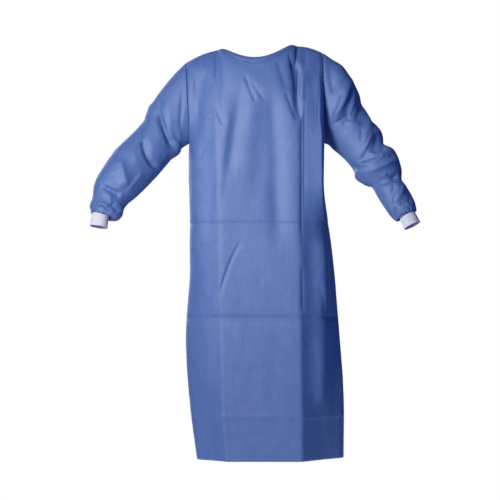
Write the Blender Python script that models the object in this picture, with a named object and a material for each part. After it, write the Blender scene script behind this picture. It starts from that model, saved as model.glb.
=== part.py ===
"""A surgical gown, worn and hollow, as a Blender script in metres.

The wearer faces -Y and +Z is up. The origin lies midway between the two
points where the shoulder seams meet the neckline: the wearer's shoulders
hold the gown there. Left and right below are the viewer's, seen from the
front. Sizes in the tables are in millimetres and angles in degrees.
"""

import functools
import math

import bmesh
import bpy
import numpy as np

MM = 0.001

# Cloth and seams
WALL = 1.5
CUFF_WALL = 2.0
SEAM_GAP = 0.3
ARMHOLE_GAP = 0.4

# Heights of the body, measured down from the shoulders
UNDERARM_Z = -288.0
WAIST_Z = -436.0
HEM_Z = -1231.0

# Grid sizes of the solids
YOKE_ROWS = 12
SKIRT_ROWS = 16
TUBE_AROUND = 24
TUBE_STEPS = 2

# The body's ring passes eight stations: the left side seam, the turn of the
# left front, the two packing folds of the front, the turn of the right
# front, the right side seam and the two turns of the back.
STATIONS = 8
LEFT_SEAM = 0
RIGHT_SEAM = 5
BACK_CENTRE = 6.5

BODY_COLUMNS = (
    "z", "left", "right", "fold_l", "fold_r", "front", "back",
    "side_l", "side_r", "bulge", "sharp",
)
BODY_SECTIONS = (
    (-288, -200, 201, -111, 122, 126, 118, 0, 4, 25, 0.30),
    (-436, -198, 200, -107, 122, 131, 106, -4, 6, 29, 0.24),
    (-530, -196, 214, -106, 122, 135, 112, -8, 8, 29, 0.20),
    (-676, -200, 232, -105, 125, 141, 126, -14, 10, 26, 0.16),
    (-849, -212, 247, -103, 127, 147, 138, -22, 14, 20, 0.12),
    (-1080, -199, 261, -98, 130, 151, 146, -32, 16, 10, 0.09),
    (-1245, -177, 260, -89, 132, 152, 150, -40, 16, 5, 0.07),
)
BACK_TURN = 0.62
SIDE_SOFTNESS = 0.5
TURN_SOFTNESS = 0.42
LEFT_OUTLINE = tuple(np.linspace(0, 1, 11))
RIGHT_OUTLINE = tuple(np.linspace(4, 5, 11))

# The top edge: shoulder tips, then where the shoulder seams meet the neck
# band's outer edge and its inner edge, which is the neckline.
TIP_L = (-211.0, 0.0, -46.0)
TIP_R = (197.0, 0.0, -18.0)
TIP_SHARE = 0.18
SHOULDER_RISE = 5.0
NECKLINE = {
    "left": (-102.0, -6.0), "right": (102.0, 6.0),
    "front": 84.0, "back": 76.0, "drop": 36.0, "back_drop": 34.0,
}
BAND_SEAM = {
    "left": (-116.5, -8.6), "right": (116.5, 3.0),
    "front": 92.0, "back": 83.0, "drop": 49.5, "back_drop": 45.0,
}
NECK_ROUNDNESS = 2.4
FRONT_NECK = (2.05, 2.95)
BACK_NECK = (6.05, 6.95)

# How the yoke's columns leave the underarm level and reach the top edge
FRONT_YOKE = {"swell": 88, "lift": 10, "rise": 120, "cap": 76, "over": 68, "neck": 26}
BACK_YOKE = {"swell": 76, "lift": 10, "rise": 125, "cap": 66, "over": 62, "neck": 18}
MID_SWELL = 8
LIFT_SHAPE = 1.5
TOP_FALL = {"middle": 12, "tip": 18, "neck": 44}

# The outer flap of the back lies over the inner one, which steps in under it
FLAP_STEP = 4.5
FLAP_STEP_STATIONS = (0.75, 0.40)

# Each panel's stretches of stations and the cells of its grid across each
FRONT_STRETCHES = ((0, 0), (1, 5), (2, 5), (2.05, 1), (2.95, 14), (3, 1), (4, 5), (5, 5))
BACK_RIGHT_STRETCHES = ((5, 0), (6, 5), (6.05, 1), (6.75, 9))
BACK_LEFT_STRETCHES = ((6.25, 0), (6.95, 9), (7, 1), (8, 5))
BACK_STRETCHES = ((5, 0), (6, 5), (6.05, 1), (6.25, 3), (6.95, 9), (7, 1), (8, 5))

# Sleeves and cuffs, from the armhole to the wrist. Turns of a ring start at
# its outer edge and pass its front first.
TUBE_COLUMNS = ("out", "y", "z", "half", "deep", "lean", "pitch")
LEFT_SLEEVE = (
    (256, 6, -220, 87, 70, 59, 0),
    (272, 4, -240, 78, 68, 50, 5),
    (286, -2, -262, 69, 66, 39, 12),
    (324, -20, -309, 70, 67, 42, 18),
    (372, -46, -363, 72, 68, 43, 20),
    (408, -66, -408, 66, 64, 40, 22),
    (430, -80, -438, 59, 57, 30, 22),
    (440, -92, -468, 50, 48, 19, 20),
    (447, -100, -492, 50, 49, 18, 18),
    (452, -105, -506, 42, 41, 19, 16),
    (457, -107, -508, 34, 33, 14, 14),
)
RIGHT_SLEEVE = (
    (247, 4, -199, 101, 82, 72, 0),
    (262, 2, -220, 94, 78, 68, 4),
    (280, -4, -247, 83, 72, 63, 10),
    (301, -14, -279, 72, 66, 57, 14),
    (324, -26, -309, 68, 62, 51, 16),
    (334, -36, -336, 62, 56, 46, 18),
    (352, -46, -354, 72, 66, 37, 20),
    (373, -60, -387, 61, 58, 24, 22),
    (384, -70, -410, 46.5, 46, 10, 22),
    (399, -80, -434, 45.5, 45, 18, 20),
    (420, -92, -469, 43.5, 43, 26, 18),
    (431, -99, -490, 40.5, 40, 26, 16),
    (440, -104, -506, 32, 32, 28, 14),
)
ARMHOLE_ROWS = (0, 0.34, 0.67)
LEFT_CROWN = 5.0
RIGHT_CROWN = 11.0
LEFT_CUFF = (
    (461, -104, -494, 25.5, 25.5, 9, 10),
    (468, -112, -541, 26.5, 26.0, 9, 10),
)
RIGHT_CUFF = (
    (437, -101, -493, 25.0, 25.0, 26, 12),
    (458, -110, -537, 26.0, 25.5, 26, 12),
)
CUFF_ROWS = 5

# Large soft folds, as places in the front view: each runs from its start
# through its bend to its end. A height under 0 is a trough. The step lifts
# the cloth on one side of the line and lowers it on the other.
FOLD_COLUMNS = ("x0", "z0", "xm", "zm", "x1", "z1", "width", "height", "step")
FRONT_FOLDS = (
    (105, -30, 126, -90, 124, -230, 13, -7, 3),
    (128, -50, 112, -150, 124, -240, 10, -4, -2),
    (-160, -60, -176, -160, -196, -260, 22, -6, 0),
    (165, -60, 182, -170, 190, -275, 20, -6, 0),
    (-38, -110, -60, -240, -96, -420, 26, -5, 0),
    (8, -120, 20, -260, 6, -470, 30, -5, 0),
    (180, -520, 196, -760, 192, -1120, 24, 9, 0),
    (226, -560, 240, -800, 236, -1180, 18, -5, 0),
)
BACK_FOLDS = (
    (-130, -90, -150, -220, -150, -420, 24, -6, 0),
    (135, -90, 150, -230, 146, -420, 24, -6, 0),
    (-120, -470, -135, -760, -128, -1200, 26, 8, 0),
    (110, -470, 128, -780, 130, -1200, 26, 8, 0),
    (-30, -480, -20, -700, -36, -1000, 24, -6, 0),
)
LEFT_SLEEVE_FOLDS = (
    (-300, -190, -272, -250, -246, -318, 9, -8, 3),
    (-345, -268, -330, -335, -296, -376, 10, -8, -3),
    (-420, -335, -398, -380, -380, -430, 20, 6, 0),
    (-462, -412, -425, -440, -398, -448, 9, -6, 3),
)
RIGHT_SLEEVE_FOLDS = (
    (258, -90, 296, -150, 262, -252, 14, -8, 4),
    (330, -190, 348, -245, 300, -300, 12, 6, 0),
    (392, -296, 350, -330, 300, -352, 9, -8, 3),
    (428, -336, 380, -350, 318, -384, 10, 7, 0),
    (424, -388, 392, -398, 346, -408, 8, -8, 0),
    (436, -410, 420, -450, 404, -480, 9, 6, 0),
)
LEFT_SLEEVE_BACK_FOLDS = (
    (-340, -215, -300, -270, -262, -300, 14, -6, 0),
    (-390, -290, -352, -340, -322, -372, 12, 6, 0),
    (-440, -380, -410, -410, -380, -432, 12, -6, 0),
)
RIGHT_SLEEVE_BACK_FOLDS = (
    (300, -120, 286, -200, 250, -272, 16, -6, 0),
    (368, -282, 330, -320, 296, -336, 10, -7, 0),
    (420, -340, 372, -362, 330, -380, 12, 6, 0),
    (440, -400, 414, -430, 390, -452, 10, -5, 0),
)
FOLD_POINTS = 12

# Where folds fade out: within these stations of a side seam, between these
# heights under the top edge, and between these shares of a sleeve's rows
EDGE_FADE = 0.5
FRONT_TOP_FADE = (-60.0, -20.0)
BACK_TOP_FADE = (-70.0, -30.0)
WRIST_FADE = (0.14, 0.24)
ARMHOLE_FADE = (0.88, 1.0)

# The sharp folds left across the front by packing
PACKING_FOLDS = ((-536.0, 3.0), (-844.0, -4.0), (-1152.0, 5.0))
PACKING_FOLD_WIDTH = 30.0

# Waist ties, sewn on near the side seams and knotted at the back. Each tail
# has its length and how far it drifts sideways.
TIE_WIDTH = 26.0
TIE_WALL = 1.2
TIE_ROWS = (-0.5, 0.5)
TIE_STATIONS = {"tie_left": (6.6, 7.85), "tie_right": (5.15, 6.4)}
KNOT_SIZE = (34.0, 11.0, 30.0)
KNOT_ROUNDING = 4.0
KNOT_ROWS = 0.66
TAILS = {"tail_left": (-1, 262.0, -34.0), "tail_right": (1, 226.0, 27.0)}
TAIL_ROWS = 12
TAIL_CLEAR = 1.2
TAIL_SWAY = 2.0

# Hook-and-loop tab that holds the outer flap's edge at the back of the neck
TAB_STATIONS = (6.16, 6.45)
TAB_HEIGHTS = (-92.0, -77.0, -62.0)
TAB_CLEAR = 0.5

BLUE = (0.085, 0.19, 0.50, 1.0)
WHITE = (0.86, 0.86, 0.90, 1.0)


def clear_scene():
    for obj in list(bpy.data.objects):
        bpy.data.objects.remove(obj)


def cloth_material(name, colour, roughness):
    made = bpy.data.materials.new(name)
    made.use_nodes = True
    shader = made.node_tree.nodes["Principled BSDF"]
    shader.inputs["Base Color"].default_value = colour
    shader.inputs["Roughness"].default_value = roughness
    shader.inputs["Metallic"].default_value = 0.0
    return made


def ease(low, high, at):
    """0 below low, 1 above high and smooth between."""
    t = np.clip((np.asarray(at, float) - low) / (high - low), 0, 1)
    return t * t * (3 - 2 * t)


def unit(vectors):
    length = np.linalg.norm(vectors, axis=-1, keepdims=True)
    return vectors / np.maximum(length, 1e-9)


def smooth_between(keys, values, at):
    """A smooth curve through (keys, values), whose keys rise or fall, read at `at`."""
    keys, values = np.asarray(keys, float), np.asarray(values, float)
    if keys[0] > keys[-1]:
        keys, values = keys[::-1], values[::-1]
    at = float(np.clip(at, keys[0], keys[-1]))
    slopes = np.gradient(values, keys)
    i = int(np.clip(np.searchsorted(keys, at, side="right") - 1, 0, len(keys) - 2))
    span = keys[i + 1] - keys[i]
    t = (at - keys[i]) / span
    start = values[i] * (1 + 2 * t) * (1 - t) ** 2 + slopes[i] * span * t * (1 - t) ** 2
    end = values[i + 1] * t * t * (3 - 2 * t) + slopes[i + 1] * span * t * t * (t - 1)
    return start + end


def body_section(z):
    """The body table's values at height z, by name."""
    heights, *columns = zip(*BODY_SECTIONS)
    values = [smooth_between(heights, column, z) for column in columns]
    return dict(zip(BODY_COLUMNS[1:], values))


def front_turn(fold, side, bulge):
    """Where the ring turns between a packing fold and a side seam."""
    run = side - fold
    outward = np.array([math.copysign(abs(run[1]), side[0]), -abs(run[0])])
    return (fold + side) / 2 + bulge * outward / np.hypot(*run)


@functools.cache
def body_stations(z):
    """The ring's corners at height z and how soft each is, as wide as the table says."""
    at = body_section(z)
    side_l = np.array([at["left"], at["side_l"]])
    side_r = np.array([at["right"], at["side_r"]])
    fold_l = np.array([at["fold_l"], -at["front"]])
    fold_r = np.array([at["fold_r"], -at["front"]])
    points = np.array([
        side_l,
        front_turn(fold_l, side_l, at["bulge"]),
        fold_l,
        fold_r,
        front_turn(fold_r, side_r, at["bulge"]),
        side_r,
        (BACK_TURN * at["right"], at["back"]),
        (BACK_TURN * at["left"], at["back"]),
    ])
    side, turn, fold = SIDE_SOFTNESS, TURN_SOFTNESS, at["sharp"]
    softness = np.array([side, turn, fold, fold, turn, side, side, side])
    share = softness[:, None] / 4
    corners = (points - share * (np.roll(points, 1, 0) + np.roll(points, -1, 0))) / (1 - 2 * share)
    for stations, reach in ((LEFT_OUTLINE, at["left"]), (RIGHT_OUTLINE, at["right"])):
        found = [ring_point(corners, softness, u)[0] for u in stations]
        widest = max(found, key=abs)
        nearest = [round(stations[0]) % STATIONS, round(stations[-1]) % STATIONS]
        corners[nearest, 0] *= reach / widest
    return corners, softness


def ring_point(corners, softness, u):
    """The point of a rounded polygon at station u."""
    i = int(round(u)) % STATIONS
    offset = (u - i + STATIONS / 2) % STATIONS - STATIONS / 2
    here = corners[i]
    before, after = corners[i - 1] - here, corners[(i + 1) % STATIONS] - here
    soft = softness[i]
    if abs(offset) >= soft:
        return here + (after if offset > 0 else before) * abs(offset)
    return here + (before * (soft - offset) ** 2 + after * (soft + offset) ** 2) / (4 * soft)


def body_ring(u, z):
    """The plan point of the ring at station u and height z."""
    return ring_point(*body_stations(z), u)


def shoulder_point(tip, neck, share):
    """A point of the shoulder seam, from the tip at 0 to the neck band at 1."""
    point = np.array(tip) + (np.array([neck[0], 0, neck[1]]) - np.array(tip)) * share
    point[2] += SHOULDER_RISE * math.sin(math.pi * share)
    return point


def neck_point(loop, share, front):
    """A point of the neckline or the band's seam, from its left end at 0 to its right end at 1."""
    turn = math.pi * share
    middle = (loop["left"][0] + loop["right"][0]) / 2
    reach = (loop["right"][0] - loop["left"][0]) / 2
    level = loop["left"][1] + (loop["right"][1] - loop["left"][1]) * (1 - math.cos(turn)) / 2
    depth = -loop["front"] if front else loop["back"]
    drop = loop["drop"] if front else loop["back_drop"]
    return np.array([
        middle - reach * math.cos(turn),
        depth * math.sin(turn),
        level - drop * max(math.sin(turn), 0) ** NECK_ROUNDNESS,
    ])


def front_top(u):
    """The front panel's top edge at station u."""
    low, high = FRONT_NECK
    if u < low:
        share = np.interp(u, [0, 1, low], [0, TIP_SHARE, 1])
        return shoulder_point(TIP_L, BAND_SEAM["left"], share)
    if u > high:
        share = np.interp(RIGHT_SEAM - u, [0, 1, RIGHT_SEAM - high], [0, TIP_SHARE, 1])
        return shoulder_point(TIP_R, BAND_SEAM["right"], share)
    return neck_point(BAND_SEAM, (u - low) / (high - low), True)


def back_top(u):
    """The back panels' top edge at station u."""
    low, high = BACK_NECK
    if u < low:
        share = max(0, (u - RIGHT_SEAM) / (low - RIGHT_SEAM))
        return shoulder_point(TIP_R, BAND_SEAM["right"], share)
    if u > high:
        share = max(0, (STATIONS - u) / (STATIONS - high))
        return shoulder_point(TIP_L, BAND_SEAM["left"], share)
    return neck_point(BAND_SEAM, (high - u) / (high - low), False)


def yoke_point(u, t, front):
    """A point above the underarm: t runs from 0 there to 1 at the top edge."""
    shape, forward = (FRONT_YOKE, -1) if front else (BACK_YOKE, 1)
    top = front_top(u) if front else back_top(u)
    foot = np.array([*body_ring(u, UNDERARM_Z), UNDERARM_Z])
    inward = min(u, RIGHT_SEAM - u) if front else min(u - RIGHT_SEAM, STATIONS - u)
    beside = float(np.clip(1 - inward, 0, 1))
    at_neck = abs(top[1]) / BAND_SEAM["front" if front else "back"]
    swell = MID_SWELL + (shape["swell"] - MID_SWELL) * beside
    lift = shape["rise"] + (shape["lift"] - shape["rise"]) * beside ** LIFT_SHAPE
    over = shape["over"] + (shape["cap"] - shape["over"]) * beside
    over += (shape["neck"] - shape["over"]) * at_neck
    fall = TOP_FALL["middle"] + TOP_FALL["tip"] * beside + TOP_FALL["neck"] * at_neck
    first = foot + np.array([0, forward * swell, lift])
    second = top + np.array([0, forward * over, -fall])
    s = 1 - t
    return s ** 3 * foot + 3 * s * s * t * first + 3 * s * t * t * second + t ** 3 * top


def skirt_heights():
    """Heights of the grid's rows below the underarm, with a row on each packing fold."""
    heights = list(np.linspace(HEM_Z, UNDERARM_Z, SKIRT_ROWS + 1))
    for fold, _ in PACKING_FOLDS:
        nearest = min(range(len(heights)), key=lambda i: abs(heights[i] - fold))
        heights[nearest] = fold
    return heights


def body_grid(stations, front):
    """Rows of points from the hem up to the top edge, one for each station."""
    rows = [[[*body_ring(u, z), z] for u in stations] for z in skirt_heights()]
    shoulder_trim = SEAM_GAP / 2 / (3 * FRONT_YOKE["over"])
    for t in np.linspace(0, 1 - shoulder_trim, YOKE_ROWS + 1)[1:]:
        rows.append([yoke_point(u, t, front) for u in stations])
    return np.array(rows)


def grid_normals(points, closed=False):
    """Unit normals of a grid, whose last column meets its first one if it is closed."""
    if closed:
        across = np.roll(points, -1, 1) - np.roll(points, 1, 1)
    else:
        across = np.gradient(points, axis=1)
    return unit(np.cross(across, np.gradient(points, axis=0)))


def fold_line(row):
    """Points along a fold, a curve through its start, bend and end."""
    at = dict(zip(FOLD_COLUMNS, row))
    t = np.linspace(0, 1, FOLD_POINTS + 1)
    x = (1 - t) ** 2 * at["x0"] + 2 * t * (1 - t) * at["xm"] + t * t * at["x1"]
    z = (1 - t) ** 2 * at["z0"] + 2 * t * (1 - t) * at["zm"] + t * t * at["z1"]
    return x, z


def fold_heights(x, z, folds):
    """How high the table's folds raise the cloth at places of the front view."""
    total = np.zeros_like(x)
    for row in folds:
        width, height, step = row[-3:]
        line_x, line_z = fold_line(row)
        nearest, side, along = np.full_like(x, 1e9), np.zeros_like(x), np.zeros_like(x)
        for i in range(FOLD_POINTS):
            run_x, run_z = line_x[i + 1] - line_x[i], line_z[i + 1] - line_z[i]
            offset = (x - line_x[i]) * run_x + (z - line_z[i]) * run_z
            share = np.clip(offset / (run_x ** 2 + run_z ** 2), 0, 1)
            off_x = x - line_x[i] - share * run_x
            off_z = z - line_z[i] - share * run_z
            distance = np.hypot(off_x, off_z)
            closer = distance < nearest
            nearest = np.where(closer, distance, nearest)
            side = np.where(closer, np.sign(run_x * off_z - run_z * off_x), side)
            along = np.where(closer, (i + share) / FOLD_POINTS, along)
        ends = ease(0, 0.25, along) * (1 - ease(0.75, 1, along))
        ratio = nearest / width
        total += ends * np.exp(-ratio ** 2) * (height + 2 * step * side * ratio)
    return total


def packing_heights(z):
    """The ridges and valleys left across the front by packing."""
    shapes = [high * np.exp(-np.abs(z - fold) / PACKING_FOLD_WIDTH) for fold, high in PACKING_FOLDS]
    return np.sum(shapes, axis=0)


def link(name, mesh, material):
    mesh.materials.append(material)
    mesh.shade_smooth()
    made = bpy.data.objects.new(name, mesh)
    bpy.context.scene.collection.objects.link(made)
    return made


def cloth_wall(name, points, normals, wall, material, closed=False):
    """A wall of even thickness. Its outer face is the grid of points."""
    rows, columns = points.shape[:2]
    builder = bmesh.new()
    outer, inner = [
        [[builder.verts.new(point * MM) for point in row] for row in face]
        for face in (points, points - normals * wall)
    ]
    cells = columns if closed else columns - 1
    for r in range(rows - 1):
        for c in range(cells):
            d = (c + 1) % columns
            builder.faces.new((outer[r][c], outer[r][d], outer[r + 1][d], outer[r + 1][c]))
            builder.faces.new((inner[r][c], inner[r + 1][c], inner[r + 1][d], inner[r][d]))
    for c in range(cells):
        d = (c + 1) % columns
        builder.faces.new((outer[0][d], outer[0][c], inner[0][c], inner[0][d]))
        builder.faces.new((outer[-1][c], outer[-1][d], inner[-1][d], inner[-1][c]))
    for r in range(0 if closed else rows - 1):
        builder.faces.new((outer[r][0], outer[r + 1][0], inner[r + 1][0], inner[r][0]))
        builder.faces.new((outer[r + 1][-1], outer[r][-1], inner[r][-1], inner[r + 1][-1]))
    mesh = bpy.data.meshes.new(name)
    builder.to_mesh(mesh)
    builder.free()
    return link(name, mesh, material)


def panel_stations(stretches):
    """The stations of a panel's grid. It stops short of a side seam by half the seam's gap."""
    found = [float(stretches[0][0])]
    for (low, _), (high, cells) in zip(stretches, stretches[1:]):
        found.extend(np.linspace(low, high, cells + 1)[1:])
    found = np.array(found)
    side_run = BODY_SECTIONS[0][BODY_COLUMNS.index("front")] - MID_SWELL
    trim = SEAM_GAP / 2 / side_run
    for seam in (LEFT_SEAM, RIGHT_SEAM, STATIONS):
        found[(found == seam)] += trim if seam == found[0] else -trim
    return found


def panel_grid(stations, front):
    """A body panel's points and normals before its folds. Seams share their normals."""
    beyond = 0.1
    wide = [stations[0] - beyond, *stations, stations[-1] + beyond]
    points = body_grid(wide, front)
    normals = grid_normals(points)[:, 1:-1]
    low, high = FRONT_NECK if front else BACK_NECK
    at_shoulder = (stations <= low) | (stations >= high)
    normals[-1, at_shoulder, 1] = 0
    return points[:, 1:-1], unit(normals)


def between_seams(stations, first, last):
    """1 inside a panel, fading to 0 at the side seams, for each column."""
    fade = ease(first, first + EDGE_FADE, stations) * (1 - ease(last - EDGE_FADE, last, stations))
    return fade[None, :]


def front_panel():
    stations = panel_stations(FRONT_STRETCHES)
    points, normals = panel_grid(stations, True)
    z = points[..., 2]
    heights = fold_heights(points[..., 0], z, FRONT_FOLDS) + packing_heights(z)
    heights *= between_seams(stations, LEFT_SEAM, RIGHT_SEAM) * (1 - ease(*FRONT_TOP_FADE, z))
    return points + normals * heights[..., None], normals, stations


def flap_cover(stations):
    """How far the inner flap has stepped in at each station, from 0 to 1."""
    far, near = FLAP_STEP_STATIONS
    return ease(BACK_CENTRE - far, BACK_CENTRE - near, stations)


def back_panel(stretches, outer):
    """One back panel. The inner one steps in where the outer flap covers it."""
    stations = panel_stations(stretches)
    points, normals = panel_grid(stations, False)
    z = points[..., 2]
    heights = fold_heights(points[..., 0], z, BACK_FOLDS)
    heights *= between_seams(stations, RIGHT_SEAM, STATIONS) * (1 - ease(*BACK_TOP_FADE, z))
    if not outer:
        heights -= FLAP_STEP * flap_cover(stations)[None, :]
    return points + normals * heights[..., None], normals, stations


def band_edge(panel, neck, front):
    """Where the band meets a panel's top edge: its points, normals and neckline points."""
    points, normals, stations = panel
    low, high = neck
    kept = (stations >= low) & (stations <= high)
    edge, turned = points[-1, kept][::-1], normals[-1, kept][::-1]
    shares = (stations[kept][::-1] - low) / (high - low)
    if not front:
        shares = 1 - shares
    seam = np.array([neck_point(BAND_SEAM, share, front) for share in shares])
    rim = np.array([neck_point(NECKLINE, share, front) for share in shares])
    return edge, turned, rim + edge - seam


def neck_band(front, back_right, back_left):
    """The strip round the neckline, from the inner flap's edge to the outer flap's."""
    right = band_edge(back_right, BACK_NECK, False)
    middle = band_edge(front, FRONT_NECK, True)
    left = band_edge(back_left, BACK_NECK, False)
    edge, turned, rim = [
        np.concatenate([r[:-1], m, l[1:]])[::-1] for r, m, l in zip(right, middle, left)
    ]
    gap = SEAM_GAP / (BAND_SEAM["right"][0] - NECKLINE["right"][0])
    points = np.array([edge + (rim - edge) * share for share in (gap, 0.5, 1)])
    normals = grid_normals(points)
    normals[0] = turned
    return points, normals


def armhole_loop(side, turn):
    """A point of the armhole: 0 is the shoulder tip and half a turn on is the underarm."""
    front = turn <= 0.5
    t = 1 - 2 * turn if front else 2 * turn - 1
    if side < 0:
        return yoke_point(LEFT_SEAM if front else STATIONS, t, front)
    return yoke_point(RIGHT_SEAM, t, front)


def tube_ring(side, section, turns):
    """An oval ring of a sleeve or cuff."""
    at = dict(zip(TUBE_COLUMNS, section))
    lean, pitch = math.radians(at["lean"]), math.radians(at["pitch"])
    outward = np.array([side * math.cos(lean), 0, math.sin(lean)])
    down = np.array([side * math.sin(lean), 0, -math.cos(lean)])
    forward = np.array([0, -math.cos(pitch), 0]) - down * math.sin(pitch)
    centre = np.array([side * at["out"], at["y"], at["z"]])
    angle = 2 * math.pi * turns[:, None]
    return centre + at["half"] * np.cos(angle) * outward + at["deep"] * np.sin(angle) * forward


def tube_rings(side, table, turns):
    """Rings through the rows of the table, and smooth between them."""
    keys = np.arange(len(table))
    places = np.linspace(0, len(table) - 1, TUBE_STEPS * (len(table) - 1) + 1)
    sections = [[smooth_between(keys, column, at) for column in zip(*table)] for at in places]
    return [tube_ring(side, section, turns) for section in sections]


def upward(side, rings):
    """A tube's grid with its rows from the wrist up, so that its normals point out."""
    points = np.array(rings)[::-1]
    return points[:, ::-1] if side > 0 else points


def gathered_root(cuff):
    """The sleeve's last ring, gathered round the cuff a seam's gap away."""
    out, y, z, half, deep, lean, pitch = cuff[0]
    return out, y, z, half + SEAM_GAP, deep + SEAM_GAP, lean, pitch


def sleeve(side, table, crown, cuff, front_folds, back_folds):
    """A sleeve from the armhole to where it is gathered onto the cuff."""
    turns = np.arange(TUBE_AROUND) / TUBE_AROUND
    start = np.array([armhole_loop(side, turn) for turn in turns])
    start[:, 0] += side * ARMHOLE_GAP
    first = tube_ring(side, table[0], turns)
    rise = np.maximum(np.cos(2 * math.pi * turns), 0) * crown
    rings = []
    for share in ARMHOLE_ROWS:
        ring = start + (first - start) * share
        ring[:, 2] += rise * math.sin(math.pi * share)
        rings.append(ring)
    rings += tube_rings(side, (*table, gathered_root(cuff)), turns)
    points = upward(side, rings)
    normals = grid_normals(points, True)
    normals[-1, :, 0] = 0
    normals = unit(normals)
    x, z, facing = points[..., 0], points[..., 2], -normals[..., 1]
    heights = fold_heights(x, z, front_folds) * ease(0, EDGE_FADE, facing)
    heights += fold_heights(x, z, back_folds) * ease(0, EDGE_FADE, -facing)
    up = np.linspace(0, 1, len(points))[:, None]
    heights *= ease(*WRIST_FADE, up) * (1 - ease(*ARMHOLE_FADE, up))
    return points + normals * heights[..., None], normals


def cuff_tube(side, table):
    turns = np.arange(TUBE_AROUND) / TUBE_AROUND
    shares = np.linspace(0, 1, CUFF_ROWS)
    top, end = np.array(table, float)
    points = upward(side, [tube_ring(side, top + (end - top) * share, turns) for share in shares])
    return points, grid_normals(points, True)


def row_at(panel, z):
    """The panel's points and normals at height z, one for each of its columns."""
    points, normals, _ = panel
    found, turned = [], []
    for c in range(points.shape[1]):
        heights = points[:, c, 2]
        r = int(np.clip(np.searchsorted(heights, z) - 1, 0, len(heights) - 2))
        share = (z - heights[r]) / (heights[r + 1] - heights[r])
        found.append(points[r, c] * (1 - share) + points[r + 1, c] * share)
        turned.append(normals[r, c] * (1 - share) + normals[r + 1, c] * share)
    return np.array(found), unit(np.array(turned))


def strip_over(panel, stations, heights, lift):
    """A strip over a panel's outer face, between two stations, at these heights."""
    first, last = stations
    kept = (panel[2] >= first - 1e-6) & (panel[2] <= last + 1e-6)
    points, normals = np.array([row_at(panel, z) for z in heights]).transpose(1, 0, 2, 3)
    return points[:, kept] + normals[:, kept] * lift, normals[:, kept]


def waist_tie(back, side, stations):
    """A tie from near a side seam to the knot, where it is narrower."""
    lift = SEAM_GAP + TIE_WALL
    heights = [WAIST_Z + row * TIE_WIDTH for row in TIE_ROWS]
    points, normals = strip_over(back, stations, heights, lift)
    end_x = knot_place(back)[0] + side * (KNOT_SIZE[0] / 2 + SEAM_GAP)
    end = []
    for row in TIE_ROWS:
        z = WAIST_Z + row * KNOT_ROWS * TIE_WIDTH
        end.append([end_x, depth_at(back, end_x, z) + lift, z])
    end = np.array(end)
    turned = normals[:, -1:] if side > 0 else normals[:, :1]
    if side > 0:
        return np.append(points, end[:, None], 1), np.append(normals, turned, 1)
    return np.append(end[:, None], points, 1), np.append(turned, normals, 1)


def depth_at(back, x, z):
    """The y of the back's outer face at a place of the back view."""
    points, _ = row_at(back, z)
    return np.interp(x, points[::-1, 0], points[::-1, 1])


def knot_place(back):
    """Where the back's centre line crosses the waist, on the outer flap."""
    points, _ = row_at(back, WAIST_Z)
    return [np.interp(BACK_CENTRE, back[2], points[:, axis]) for axis in range(3)]


def tie_knot(back, material):
    """A soft square knot that rests on the outer flap at the waist."""
    width, depth, height = KNOT_SIZE
    builder = bmesh.new()
    bmesh.ops.create_cube(builder, size=1.0)
    x, y, z = knot_place(back)
    for vert in builder.verts:
        vert.co.x = (x + vert.co.x * width) * MM
        vert.co.y = (y + SEAM_GAP + (vert.co.y + 0.5) * depth) * MM
        vert.co.z = (z + vert.co.z * height) * MM
    bmesh.ops.bevel(builder, geom=builder.edges[:], offset=KNOT_ROUNDING * MM, segments=3,
                    profile=0.5, affect="EDGES")
    mesh = bpy.data.meshes.new("tie_knot")
    builder.to_mesh(mesh)
    builder.free()
    return link("tie_knot", mesh, material)


def tail(back, side, length, drift):
    """A tie's free end, which hangs from under the knot down the outer flap."""
    top = WAIST_Z - KNOT_SIZE[2] / 2 - SEAM_GAP
    centre = knot_place(back)[0] + side * (TIE_WIDTH / 2 + 1)
    rows = []
    for share in np.linspace(1, 0, TAIL_ROWS + 1):
        z = top - length * share
        x = centre + drift * share ** 0.8 + TIE_WIDTH * np.array([0.5, 0, -0.5])
        away = TAIL_CLEAR + TIE_WALL + TAIL_SWAY * math.sin(math.pi * share) ** 2
        rows.append(np.stack([x, depth_at(back, x, z) + away, np.full(3, z)], axis=1))
    points = np.array(rows)
    return points, np.tile([0.0, 1.0, 0.0], (*points.shape[:2], 1))


def closures(material):
    """The tab and ties that close the gown at the back."""
    back = back_panel(BACK_STRETCHES, True)
    for name, stations in TIE_STATIONS.items():
        side = -1 if name == "tie_left" else 1
        cloth_wall(name, *waist_tie(back, side, stations), TIE_WALL, material)
    tie_knot(back, material)
    for name, (side, length, drift) in TAILS.items():
        cloth_wall(name, *tail(back, side, length, drift), TIE_WALL, material)
    tab = strip_over(back, TAB_STATIONS, TAB_HEIGHTS, TAB_CLEAR + TIE_WALL)
    cloth_wall("neck_tab", *tab, TIE_WALL, material)


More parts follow.
